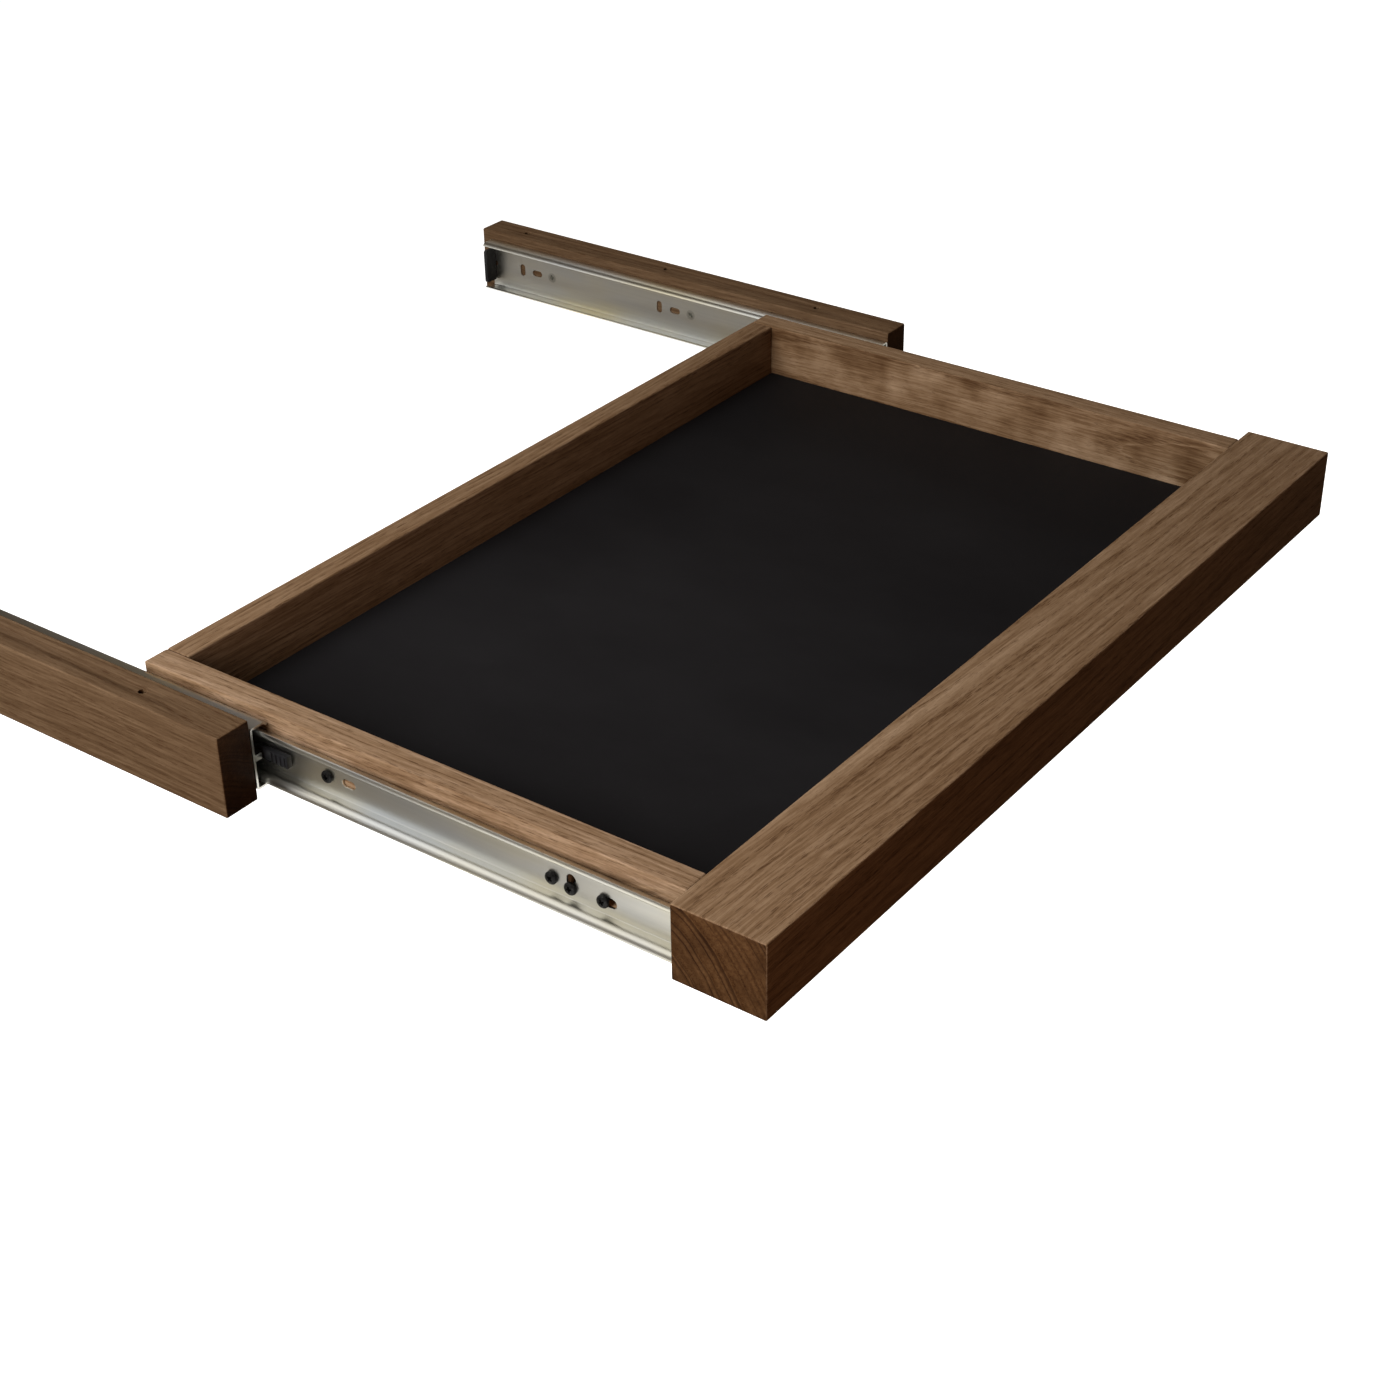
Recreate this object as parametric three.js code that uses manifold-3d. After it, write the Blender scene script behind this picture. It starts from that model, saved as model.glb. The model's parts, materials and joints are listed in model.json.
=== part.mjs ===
// Under desk drawer: a shallow wooden drawer on two-member ball-bearing slides, hung from two
// wooden bearers that screw to the underside of a desktop.
//
// Units are millimetres. +X is right, +Y runs into the desk and +Z is up. The origin lies in the
// middle of the width, on the underside of the desktop, in line with the closed drawer's front.
// Every piece is laid out with the drawer closed, and the groups that move are then drawn out, so
// the model stands with the drawer fully open.

import * as THREE from 'three';
import { mergeVertices } from 'three/addons/utils/BufferGeometryUtils.js';
import Module from 'manifold-3d';

const wasm = await Module();
wasm.setup();

// ---------------------------------------------------------------- driving dimensions

const GAP = 0.3;                    // between pieces that touch
const ARRIS = 0.8;                  // broken edge on every plank

const FRONT_WIDTH = 600;
const FRONT_DEPTH = 53;
const FRONT_HEIGHT = 43;
const FRONT_TOP = -2;               // the front clears the desktop by this much
const FRONT_BOTTOM = FRONT_TOP - FRONT_HEIGHT;

const BOX_TOP = -2.5;
const SIDE_THICKNESS = 16;
const SIDE_LENGTH = 355;
const BACK_THICKNESS = 16;
const REBATE_WIDTH = 8;             // ledge that holds the bottom panel
const REBATE_TOP = -38.2;
const PANEL_THICKNESS = 6;
const LINER_THICKNESS = 2;

const SLIDE_SPACE = 12.7;           // standard side space of a ball-bearing slide
const SLIDE_Z = -24.3;              // height of the slides' centre line
const SHEET = 1.2;                  // steel of both members
const CABINET_LENGTH = 350;
const DRAWER_MEMBER_LENGTH = 348;
const TRAVEL = 262;                 // three-quarter extension

const BALL_RADIUS = 2.6;
const BALL_PITCH = 9;
const BALLS_IN_ROW = 8;
const BALL_DEPTH = 8.35;            // ball centres, measured out from the bearer
const BALL_HEIGHT = 14.5;           // ball centres, above and below the centre line

const BEARER_THICKNESS = 22;
const BEARER_HEIGHT = 48;
const BEARER_LENGTH = 360;

// ---------------------------------------------------------------- derived places

const HALF_FRONT = FRONT_WIDTH / 2;                 // also the seat of the cabinet members
const SIDE_OUTER = HALF_FRONT - SLIDE_SPACE - GAP;
const SIDE_INNER = SIDE_OUTER - SIDE_THICKNESS;
const SIDE_MIDDLE = (SIDE_OUTER + SIDE_INNER) / 2;
const BOX_BACK = FRONT_DEPTH + SIDE_LENGTH;
const BACK_FRONT_FACE = BOX_BACK - BACK_THICKNESS;
const PANEL_TOP = REBATE_TOP - GAP;
const PANEL_BOTTOM = PANEL_TOP - PANEL_THICKNESS;
const CABINET_START = FRONT_DEPTH + 2;
const CABINET_END = CABINET_START + CABINET_LENGTH;
const DRAWER_MEMBER_START = FRONT_DEPTH + 0.5;
const DRAWER_MEMBER_END = DRAWER_MEMBER_START + DRAWER_MEMBER_LENGTH;

// ---------------------------------------------------------------- materials

function material(color, roughness, metalness) {
  return new THREE.MeshStandardMaterial({ color, roughness, metalness });
}

const stainedOak = material(0x6e5039, 0.55, 0);
const bearerOak = material(0x5c422f, 0.6, 0);
const plywood = material(0x4a3626, 0.65, 0);
const linoleum = material(0x1b1b1c, 0.6, 0);
const zincSteel = material(0xc9cac6, 0.3, 0.9);
const cageSteel = material(0xb4b6b4, 0.35, 0.85);
const blackScrew = material(0x1a1a1a, 0.4, 0.6);
const zincScrew = material(0xb9bab5, 0.35, 0.85);
const leverPlastic = material(0x17181a, 0.5, 0);
const bumperRubber = material(0x202021, 0.8, 0);
const beechDowel = material(0xb98f62, 0.7, 0);

// ---------------------------------------------------------------- shape helpers

function toSolid(geometry) {
  const bare = geometry.clone();
  bare.deleteAttribute('normal');
  bare.deleteAttribute('uv');
  const merged = mergeVertices(bare, 1e-4);
  return new wasm.Manifold(new wasm.Mesh({
    numProp: 3,
    vertProperties: Float32Array.from(merged.attributes.position.array),
    triVerts: Uint32Array.from(merged.index.array),
  }));
}

function toGeometry(solid) {
  const mesh = solid.getMesh();
  const geometry = new THREE.BufferGeometry();
  geometry.setAttribute('position', new THREE.BufferAttribute(mesh.vertProperties, 3));
  geometry.setIndex(new THREE.BufferAttribute(mesh.triVerts, 1));
  geometry.computeVertexNormals();
  return geometry;
}

function cut(geometry, tools) {
  return toGeometry(tools.reduce((solid, tool) => solid.subtract(toSolid(tool)), toSolid(geometry)));
}

function join(...geometries) {
  return toGeometry(geometries.map(toSolid).reduce((solid, next) => solid.add(next)));
}

// Mirrors a left-hand piece into its right-hand twin.
function mirrored(geometry) {
  const twin = geometry.index ? geometry.clone() : mergeVertices(geometry);
  twin.scale(-1, 1, 1);
  const index = twin.index.array;
  for (let i = 0; i < index.length; i += 3) {
    const first = index[i];
    index[i] = index[i + 1];
    index[i + 1] = first;
  }
  twin.computeVertexNormals();
  return twin;
}

function block([x0, y0, z0], [x1, y1, z1]) {
  const box = new THREE.BoxGeometry(x1 - x0, y1 - y0, z1 - z0);
  return box.translate((x0 + x1) / 2, (y0 + y1) / 2, (z0 + z1) / 2);
}

function roundedRect(x0, y0, x1, y1, radius) {
  const shape = new THREE.Shape();
  shape.absarc(x1 - radius, y0 + radius, radius, -Math.PI / 2, 0);
  shape.absarc(x1 - radius, y1 - radius, radius, 0, Math.PI / 2);
  shape.absarc(x0 + radius, y1 - radius, radius, Math.PI / 2, Math.PI);
  shape.absarc(x0 + radius, y0 + radius, radius, Math.PI, Math.PI * 1.5);
  return shape;
}

// Axis frames for an extrusion: the shape's own x and y, then the direction it is drawn out in.
const ALONG_X = new THREE.Matrix4().makeBasis(
  new THREE.Vector3(0, 1, 0), new THREE.Vector3(0, 0, 1), new THREE.Vector3(1, 0, 0));
const ALONG_Y = new THREE.Matrix4().makeBasis(
  new THREE.Vector3(1, 0, 0), new THREE.Vector3(0, 0, 1), new THREE.Vector3(0, -1, 0));
const ALONG_Z = new THREE.Matrix4();

function extrude(shape, start, end, direction, curveSegments = 4) {
  const geometry = new THREE.ExtrudeGeometry(shape, {
    depth: end - start,
    bevelEnabled: false,
    curveSegments,
  });
  geometry.translate(0, 0, direction === ALONG_Y ? -end : start);
  return geometry.applyMatrix4(direction);
}

// A plank with a broken edge all round, drawn out along its grain.
function plank(low, high, direction) {
  const [x0, y0, z0] = low;
  const [x1, y1, z1] = high;
  const alongX = direction === ALONG_X;
  const section = alongX
    ? roundedRect(y0, z0, y1, z1, ARRIS)
    : roundedRect(x0, z0, x1, z1, ARRIS);
  const start = alongX ? x0 : y0;
  const end = alongX ? x1 : y1;
  const geometry = new THREE.ExtrudeGeometry(section, {
    depth: end - start - 2 * ARRIS,
    bevelEnabled: true,
    bevelThickness: ARRIS,
    bevelSize: ARRIS * 0.6,
    bevelOffset: -ARRIS * 0.6,
    bevelSegments: 1,
    curveSegments: 1,
  });
  geometry.translate(0, 0, alongX ? start + ARRIS : -end + ARRIS);
  return geometry.applyMatrix4(direction);
}

// A solid turned about a line through (0, 0, 0) in the direction of axis. Its outline is a list
// of [radius, distance along the axis] that starts and ends on the axis.
function turned(outline, axis, segments = 8) {
  const points = outline.map(([radius, along]) => new THREE.Vector2(radius, along));
  const geometry = new THREE.LatheGeometry(points, segments);
  const turn = new THREE.Quaternion().setFromUnitVectors(new THREE.Vector3(0, 1, 0), axis);
  return geometry.applyQuaternion(turn);
}

function rod(radius, length, axis, segments = 8) {
  return turned([[0, 0], [radius, 0], [radius, length], [0, length]], axis, segments);
}

const AXIS_X = new THREE.Vector3(1, 0, 0);
const AXIS_Y = new THREE.Vector3(0, 1, 0);
const AXIS_Z = new THREE.Vector3(0, 0, 1);

// A slotted hole through a web that faces X, centred at (y, z).
function slotTool(y, z, lengthY, heightZ, x0, x1) {
  const radius = Math.min(lengthY, heightZ) / 2 - 0.01;
  const section = roundedRect(
    y - lengthY / 2, z - heightZ / 2, y + lengthY / 2, z + heightZ / 2, radius);
  return extrude(section, x0, x1, ALONG_X, 1.5);
}

// Sheet metal of even thickness, bent along a path in the slide's section.
function bentSheet(path, thickness, divisions) {
  const points = path.getPoints(divisions);
  const sides = [[], []];
  for (let i = 0; i < points.length; i += 1) {
    const before = points[Math.max(i - 1, 0)];
    const after = points[Math.min(i + 1, points.length - 1)];
    const normal = new THREE.Vector2(-(after.y - before.y), after.x - before.x).normalize();
    const step = new THREE.Vector2().subVectors(points[i], before);
    const lean = i > 0 && i < points.length - 1
      ? Math.abs(step.normalize().cross(normal))
      : 1;
    const offset = normal.multiplyScalar(thickness / 2 / lean);
    sides[0].push(points[i].clone().add(offset));
    sides[1].push(points[i].clone().sub(offset));
  }
  return new THREE.Shape([...sides[0], ...sides[1].reverse()]);
}

// ---------------------------------------------------------------- screws

// A countersunk screw whose head is flush with the surface at 0 and whose point is at -length.
function countersunkOutline(headRadius, shankRadius, length, slack = 0) {
  const cone = headRadius - shankRadius;
  return [
    [0, -length - slack],
    [shankRadius * 0.4 + slack, -length - slack],
    [shankRadius + slack, -length + 3],
    [shankRadius + slack, -cone - 0.3],
    [headRadius + slack, -0.3],
    [headRadius + slack, slack > 0 ? 1 : 0],
    [0, slack > 0 ? 1 : 0],
  ];
}

const PAN_HEAD = { radius: 3.5, height: 2, shank: 1.7, length: 13 };

// A pan-head screw that seats on the surface at 0, with its shank towards -length.
function panHeadOutline() {
  const { radius, height, shank, length } = PAN_HEAD;
  return [
    [0, -length],
    [shank * 0.4, -length],
    [shank, -length + 3],
    [shank, GAP],
    [radius, GAP],
    [radius, GAP + height * 0.45],
    [radius * 0.72, GAP + height * 0.88],
    [0, GAP + height],
  ];
}

// ---------------------------------------------------------------- slide members

// Slide sections are drawn in x, the distance out from the bearer, and z, the height from the
// slide's centre line. The upper half is listed and the lower half repeats it downwards.

const GROOVE = BALL_RADIUS + 0.15 + SHEET / 2;      // bend that wraps round a row of balls
const BEND = 1.2;

function cabinetPath() {
  const web = SHEET / 2;
  const flange = BALL_HEIGHT + GROOVE;
  const lip = THREE.MathUtils.degToRad(25);
  const quarter = Math.PI / 2;
  const path = new THREE.Path();
  path.absarc(BALL_DEPTH, BALL_HEIGHT, GROOVE, lip, quarter);
  path.absarc(web + BEND, flange - BEND, BEND, quarter, Math.PI);
  path.absarc(web + BEND, BEND - flange, BEND, Math.PI, 3 * quarter);
  path.absarc(BALL_DEPTH, -BALL_HEIGHT, GROOVE, 3 * quarter, 2 * Math.PI - lip);
  return path;
}

function drawerMemberPath() {
  const web = SLIDE_SPACE - SHEET / 2;
  const flange = BALL_HEIGHT - GROOVE;
  const lip = THREE.MathUtils.degToRad(20);
  const quarter = Math.PI / 2;
  const path = new THREE.Path();
  path.absarc(BALL_DEPTH, BALL_HEIGHT, GROOVE, Math.PI - lip, 3 * quarter);
  path.absarc(web - BEND, flange - BEND, BEND, quarter, 0, true);
  path.absarc(web - BEND, BEND - flange, BEND, 0, -quarter, true);
  path.absarc(BALL_DEPTH, -BALL_HEIGHT, GROOVE, quarter, Math.PI + lip);
  return path;
}

const STOP_TAB = { thickness: 1.2, reach: 6, halfHeight: 1.8 };
const CABINET_SCREWS = [92, 220, 348];
const CABINET_SCREW = { head: 3.8, shank: 1.6, length: 14 };
const SPARE_SLOT = { long: 9, short: 4.6 };

function cabinetMember() {
  const channel = extrude(bentSheet(cabinetPath(), SHEET, 3), CABINET_START, CABINET_END, ALONG_Y);
  const tab = block(
    [SHEET / 2, CABINET_START, -STOP_TAB.halfHeight],
    [STOP_TAB.reach, CABINET_START + STOP_TAB.thickness, STOP_TAB.halfHeight]);
  const tabWindow = block(
    [-1, CABINET_START + STOP_TAB.thickness, -STOP_TAB.halfHeight],
    [SHEET + 1, CABINET_START + STOP_TAB.thickness + 5, STOP_TAB.halfHeight]);
  const spareHoles = [];
  for (const y of CABINET_SCREWS) {
    spareHoles.push(slotTool(y + 14, 0, SPARE_SLOT.long, SPARE_SLOT.short, -1, SHEET + 1));
    spareHoles.push(slotTool(y + 28, 0, SPARE_SLOT.short, SPARE_SLOT.long, -1, SHEET + 1));
  }
  const bumperHole = rod(2.3, 4, AXIS_X).translate(-1, CABINET_END - 2, 0);
  return cut(join(channel, tab), [tabWindow, bumperHole, ...spareHoles, ...cabinetScrewTools()]);
}

function cabinetScrewTools() {
  const { head, shank, length } = CABINET_SCREW;
  return CABINET_SCREWS.map((y) => (
    turned(countersunkOutline(head, shank, length, GAP), AXIS_X).translate(SHEET, y, 0)));
}

function cabinetScrew(y) {
  const { head, shank, length } = CABINET_SCREW;
  return turned(countersunkOutline(head, shank, length), AXIS_X).translate(SHEET, y, 0);
}

// Screws of the drawer member: their distance behind the front's back face, their height, and the
// [length, height] of the hole round each, with the hole's [y, z] shift from the screw.
const DRAWER_SCREWS = [
  { name: 'front', behind: 47, z: -2.9, hole: [11, 5.4], shift: [-2, 0] },
  { name: 'middle', behind: 66.5, z: -3.7, hole: [5.4, 11.5], shift: [0, 1.8] },
  { name: 'inner', behind: 78, z: -2.2, hole: [4.6, 4.6], shift: [0, 0] },
  { name: 'rear', behind: 223, z: 0, hole: [4.6, 4.6], shift: [0, 0] },
];
const SPARE_SLOT_BEHIND = 209;

function drawerMember() {
  const channel = extrude(
    bentSheet(drawerMemberPath(), SHEET, 3), DRAWER_MEMBER_START, DRAWER_MEMBER_END, ALONG_Y);
  const inside = SLIDE_SPACE - SHEET - 1;
  const outside = SLIDE_SPACE + 1;
  const holes = DRAWER_SCREWS.map(({ behind, z, hole, shift }) => slotTool(
    FRONT_DEPTH + behind + shift[0], z + shift[1], hole[0], hole[1], inside, outside));
  const { long, short } = SPARE_SLOT;
  holes.push(slotTool(FRONT_DEPTH + SPARE_SLOT_BEHIND, 0, long, short, inside, outside));
  holes.push(rod(LEVER.pivotHole, 4, AXIS_X).translate(inside, LEVER.pivotY, 0));
  return cut(channel, holes);
}

function drawerScrew({ behind, z }) {
  const seat = SLIDE_SPACE - SHEET;
  return turned(panHeadOutline(), AXIS_X.clone().negate()).translate(seat, FRONT_DEPTH + behind, z);
}

function drawerScrewPilot({ behind, z }) {
  const depth = PAN_HEAD.length - SHEET + GAP;
  const pilot = rod(PAN_HEAD.shank + GAP, depth + 1, AXIS_X, 8);
  return pilot.translate(SLIDE_SPACE - 1, FRONT_DEPTH + behind, z);
}

// ---------------------------------------------------------------- ball retainer

const CAGE_SHEET = 0.5;
const CAGE_LENGTH = 80;
const CAGE_EDGE = 9.2;              // the arms are combs, open on this edge
const CAGE_ARM = BALL_HEIGHT + 2.1; // they pass over the drawer member's lips
const BALL_POCKET = 1.65;
const CAGE_START = CABINET_START + 2.5 + TRAVEL / 2;

function ballRetainer() {
  const web = SHEET + GAP + CAGE_SHEET / 2;
  const bend = 0.8;
  const quarter = Math.PI / 2;
  const path = new THREE.Path();
  path.moveTo(CAGE_EDGE, CAGE_ARM);
  path.absarc(web + bend, CAGE_ARM - bend, bend, quarter, Math.PI);
  path.absarc(web + bend, bend - CAGE_ARM, bend, Math.PI, 3 * quarter);
  path.lineTo(CAGE_EDGE, -CAGE_ARM);
  const sheet = extrude(
    bentSheet(path, CAGE_SHEET, 2), CAGE_START, CAGE_START + CAGE_LENGTH, ALONG_Y);
  const strap = 9;
  const tools = [slotTool(
    CAGE_START + CAGE_LENGTH / 2, 0, CAGE_LENGTH - 2 * strap, 18, web - 2, web + 2)];
  const first = CAGE_START + (CAGE_LENGTH - (BALLS_IN_ROW - 1) * BALL_PITCH) / 2;
  for (let i = 0; i < BALLS_IN_ROW; i += 1) {
    for (const z of [-CAGE_ARM, CAGE_ARM]) {
      const pocket = rod(BALL_POCKET, 2, AXIS_Z, 8);
      tools.push(pocket.translate(BALL_DEPTH, first + i * BALL_PITCH, z - 1));
    }
  }
  return cut(sheet, tools);
}

// ---------------------------------------------------------------- disconnect lever

const HOOK_FACE = CABINET_START + STOP_TAB.thickness + 0.8 + TRAVEL;
const LEVER = {
  near: 7.6,                         // x of its outer face
  far: 10.9,                         // x of the face towards the drawer member
  pivotY: HOOK_FACE + 48,
  pivotHole: 2.2,
  halfHeight: 2.8,
  padLength: 18,
  tailLength: 24,
};

function disconnectLever() {
  const { near, far, pivotY, pivotHole, halfHeight, padLength, tailLength } = LEVER;
  const start = HOOK_FACE - padLength;
  const end = pivotY + tailLength;
  const outline = new THREE.Shape();
  outline.moveTo(start, -halfHeight - 0.6);
  outline.lineTo(HOOK_FACE - 6, -halfHeight - 0.6);
  outline.quadraticCurveTo(HOOK_FACE, -halfHeight - 0.5, HOOK_FACE + 8, -halfHeight + 0.8);
  outline.lineTo(pivotY - 12, -halfHeight + 0.8);
  outline.absarc(pivotY, 0, 5, Math.PI * 1.25, Math.PI * 1.75);
  outline.lineTo(end, -1.6);
  outline.lineTo(end, 1.6);
  outline.absarc(pivotY, 0, 5, Math.PI * 0.25, Math.PI * 0.75);
  outline.lineTo(pivotY - 12, halfHeight - 0.8);
  outline.lineTo(HOOK_FACE + 8, halfHeight - 0.8);
  outline.quadraticCurveTo(HOOK_FACE, halfHeight + 0.5, HOOK_FACE - 6, halfHeight + 0.6);
  outline.lineTo(start, halfHeight + 0.6);
  const plate = extrude(outline, near, far, ALONG_X, 5);
  const hook = block([3.6, HOOK_FACE, -1.6], [near + 0.5, HOOK_FACE + 3.5, 1.6]);
  const grips = [0, 1, 2, 3].map((i) => block(
    [near - 0.6, start + 1.5 + i * 3, -halfHeight],
    [near + 0.5, start + 2.8 + i * 3, halfHeight]));
  const pivot = rod(pivotHole, 8, AXIS_X).translate(near - 2, pivotY, 0);
  return cut(join(plate, hook, ...grips), [pivot]);
}

function leverRivet() {
  const { near, pivotY, pivotHole } = LEVER;
  const shank = pivotHole - GAP;
  const headEnd = near - GAP;
  const outline = [
    [0, headEnd - 1],
    [2, headEnd - 0.9],
    [3.2, headEnd - 0.2],
    [3.2, headEnd],
    [shank, headEnd],
    [shank, SLIDE_SPACE - GAP],
    [0, SLIDE_SPACE - GAP],
  ];
  return turned(outline, AXIS_X, 10).translate(0, pivotY, 0);
}

// ---------------------------------------------------------------- rear bumper

function rearBumper() {
  const start = DRAWER_MEMBER_END + 0.5;
  const end = CABINET_END - GAP;
  const pad = extrude(
    roundedRect(SHEET + GAP, -12.5, SLIDE_SPACE - 0.6, 12.5, 1.5), start, end, ALONG_Y, 2);
  const stud = rod(1, SHEET + 1, AXIS_X).translate(GAP, (start + end) / 2, 0);
  return join(pad, stud);
}

// ---------------------------------------------------------------- bearers

const BEARER_HOLES = [120, 250, 380];

function bearer() {
  const body = plank(
    [-HALF_FRONT - GAP - BEARER_THICKNESS, CABINET_START, -BEARER_HEIGHT],
    [-HALF_FRONT - GAP, CABINET_START + BEARER_LENGTH, 0], ALONG_Y);
  const middle = -HALF_FRONT - GAP - BEARER_THICKNESS / 2;
  const tools = [];
  for (const y of BEARER_HOLES) {
    tools.push(rod(2.5, BEARER_HEIGHT + 2, AXIS_Z).translate(middle, y, -BEARER_HEIGHT - 1));
    tools.push(rod(6, 19, AXIS_Z, 10).translate(middle, y, -BEARER_HEIGHT - 1));
  }
  for (const tool of cabinetScrewTools()) {
    tools.push(tool.translate(-HALF_FRONT, 0, SLIDE_Z));
  }
  return cut(body, tools);
}

// ---------------------------------------------------------------- drawer box

const DOWEL = { radius: 4, length: 30 };
const DOWEL_HEIGHTS = { upper: -13, lower: -29 };
const DOWEL_IN_FRONT = 14;
const DOWEL_IN_SIDE = 11;
const PANEL_SCREW = { head: 3, shank: 1.5, length: 14 };

// Screws that hold the bottom panel to the ledges, as [x, y].
function panelScrewPlaces() {
  const ledge = SIDE_INNER + REBATE_WIDTH / 2;
  const places = { left_front: [-ledge, 150], left_rear: [-ledge, 310] };
  places.right_front = [ledge, 150];
  places.right_rear = [ledge, 310];
  const row = { left: -180, middle: 0, right: 180 };
  for (const [name, x] of Object.entries(row)) {
    places[`front_${name}`] = [x, FRONT_DEPTH - REBATE_WIDTH / 2];
    places[`back_${name}`] = [x, BOX_BACK - BACK_THICKNESS / 2];
  }
  return places;
}

const DOWN = AXIS_Z.clone().negate();

function panelScrew([x, y], slack = 0) {
  const { head, shank, length } = PANEL_SCREW;
  return turned(countersunkOutline(head, shank, length, slack), DOWN).translate(x, y, PANEL_BOTTOM);
}

function panelScrewHoles() {
  return Object.values(panelScrewPlaces()).map((place) => panelScrew(place, GAP));
}

function frontDowel(height, slack = 0) {
  const dowel = rod(DOWEL.radius + slack, DOWEL.length + 2 * slack, AXIS_Y, 10);
  return dowel.translate(-SIDE_MIDDLE, FRONT_DEPTH - DOWEL_IN_FRONT - slack, height);
}

function backDowel(height, slack = 0) {
  const dowel = rod(DOWEL.radius + slack, DOWEL.length + 2 * slack, AXIS_X, 10);
  return dowel.translate(
    -SIDE_INNER - DOWEL_IN_SIDE - slack, BOX_BACK - BACK_THICKNESS / 2, height);
}

function bothSides(geometries) {
  return [...geometries, ...geometries.map(mirrored)];
}

const FINGER_PULL = { length: 150, width: 18, depth: 12, middle: 22 };

function frontBar() {
  const body = plank(
    [-HALF_FRONT, 0, FRONT_BOTTOM], [HALF_FRONT, FRONT_DEPTH, FRONT_TOP], ALONG_X);
  const ledge = SIDE_INNER + REBATE_WIDTH;
  const rebate = block(
    [-ledge, FRONT_DEPTH - REBATE_WIDTH, FRONT_BOTTOM - 1], [ledge, FRONT_DEPTH + 1, REBATE_TOP]);
  const { length, width, depth, middle } = FINGER_PULL;
  const pullShape = roundedRect(
    -length / 2, middle - width / 2, length / 2, middle + width / 2, width / 2 - 0.01);
  const pull = extrude(pullShape, FRONT_BOTTOM - 1, FRONT_BOTTOM + depth, ALONG_Z);
  const dowels = Object.values(DOWEL_HEIGHTS).map((height) => frontDowel(height, GAP));
  return cut(body, [rebate, pull, ...bothSides(dowels), ...panelScrewHoles()]);
}

function side() {
  const body = plank(
    [-SIDE_OUTER, FRONT_DEPTH + GAP, FRONT_BOTTOM], [-SIDE_INNER, BOX_BACK, BOX_TOP], ALONG_Y);
  const rebate = block(
    [-SIDE_INNER - REBATE_WIDTH, FRONT_DEPTH - 1, FRONT_BOTTOM - 1],
    [-SIDE_INNER + 1, BOX_BACK + 1, REBATE_TOP]);
  const heights = Object.values(DOWEL_HEIGHTS);
  const dowels = heights.flatMap((height) => [frontDowel(height, GAP), backDowel(height, GAP)]);
  const pilots = DRAWER_SCREWS.map((screw) => (
    drawerScrewPilot(screw).translate(-HALF_FRONT, 0, SLIDE_Z)));
  return cut(body, [rebate, ...dowels, ...pilots, ...panelScrewHoles()]);
}

function backRail() {
  const body = plank(
    [-SIDE_INNER + GAP, BACK_FRONT_FACE, REBATE_TOP], [SIDE_INNER - GAP, BOX_BACK, BOX_TOP],
    ALONG_X);
  const dowels = Object.values(DOWEL_HEIGHTS).map((height) => backDowel(height, GAP));
  return cut(body, [...bothSides(dowels), ...panelScrewHoles()]);
}

function bottomPanel() {
  const edge = SIDE_INNER + REBATE_WIDTH - GAP;
  const body = block(
    [-edge, FRONT_DEPTH - REBATE_WIDTH + GAP, PANEL_BOTTOM], [edge, BOX_BACK - GAP, PANEL_TOP]);
  return cut(body, panelScrewHoles());
}

function liner() {
  const edge = SIDE_INNER - GAP;
  return block(
    [-edge, FRONT_DEPTH + GAP, REBATE_TOP],
    [edge, BACK_FRONT_FACE - GAP, REBATE_TOP + LINER_THICKNESS]);
}

// ---------------------------------------------------------------- assembly

const underDeskDrawer = new THREE.Group();

function add(group, name, geometry, finish) {
  const mesh = new THREE.Mesh(geometry, finish);
  mesh.name = name;
  group.add(mesh);
}

// A group drawn out of the desk by some of the travel.
function drawnOut(distance) {
  const group = new THREE.Group();
  group.position.y = -distance;
  underDeskDrawer.add(group);
  return group;
}

// Adds a left-hand piece and its mirrored twin. A slide piece sits on the bearer's inner face.
function addPair(group, name, geometry, finish, onSlide = false) {
  const twins = { left: geometry, right: mirrored(geometry) };
  for (const [hand, shape] of Object.entries(twins)) {
    const place = new THREE.Group();
    if (onSlide) {
      place.position.set(hand === 'left' ? -HALF_FRONT : HALF_FRONT, 0, SLIDE_Z);
    }
    group.add(place);
    add(place, `${name}_${hand}`, shape, finish);
  }
}

const fixed = drawnOut(0);
addPair(fixed, 'bearer', bearer(), bearerOak);
addPair(fixed, 'cabinet_member', cabinetMember(), zincSteel, true);
addPair(fixed, 'rear_bumper', rearBumper(), bumperRubber, true);
CABINET_SCREWS.forEach((y, i) => {
  addPair(fixed, `cabinet_screw_${i + 1}`, cabinetScrew(y), zincScrew, true);
});

const cages = drawnOut(TRAVEL / 2);
addPair(cages, 'ball_retainer', ballRetainer(), cageSteel, true);

const drawer = drawnOut(TRAVEL);
add(drawer, 'front_bar', frontBar(), stainedOak);
addPair(drawer, 'side', side(), stainedOak);
add(drawer, 'back_rail', backRail(), stainedOak);
add(drawer, 'bottom_panel', bottomPanel(), plywood);
add(drawer, 'floor_liner', liner(), linoleum);
addPair(drawer, 'drawer_member', drawerMember(), zincSteel, true);
addPair(drawer, 'disconnect_lever', disconnectLever(), leverPlastic, true);
addPair(drawer, 'lever_rivet', leverRivet(), zincScrew, true);
for (const screw of DRAWER_SCREWS) {
  addPair(drawer, `slide_screw_${screw.name}`, drawerScrew(screw), blackScrew, true);
}
for (const [level, height] of Object.entries(DOWEL_HEIGHTS)) {
  addPair(drawer, `front_dowel_${level}`, frontDowel(height), beechDowel);
  addPair(drawer, `back_dowel_${level}`, backDowel(height), beechDowel);
}
for (const [name, place] of Object.entries(panelScrewPlaces())) {
  add(drawer, `panel_screw_${name}`, panelScrew(place), zincScrew);
}

export default underDeskDrawer;
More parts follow.
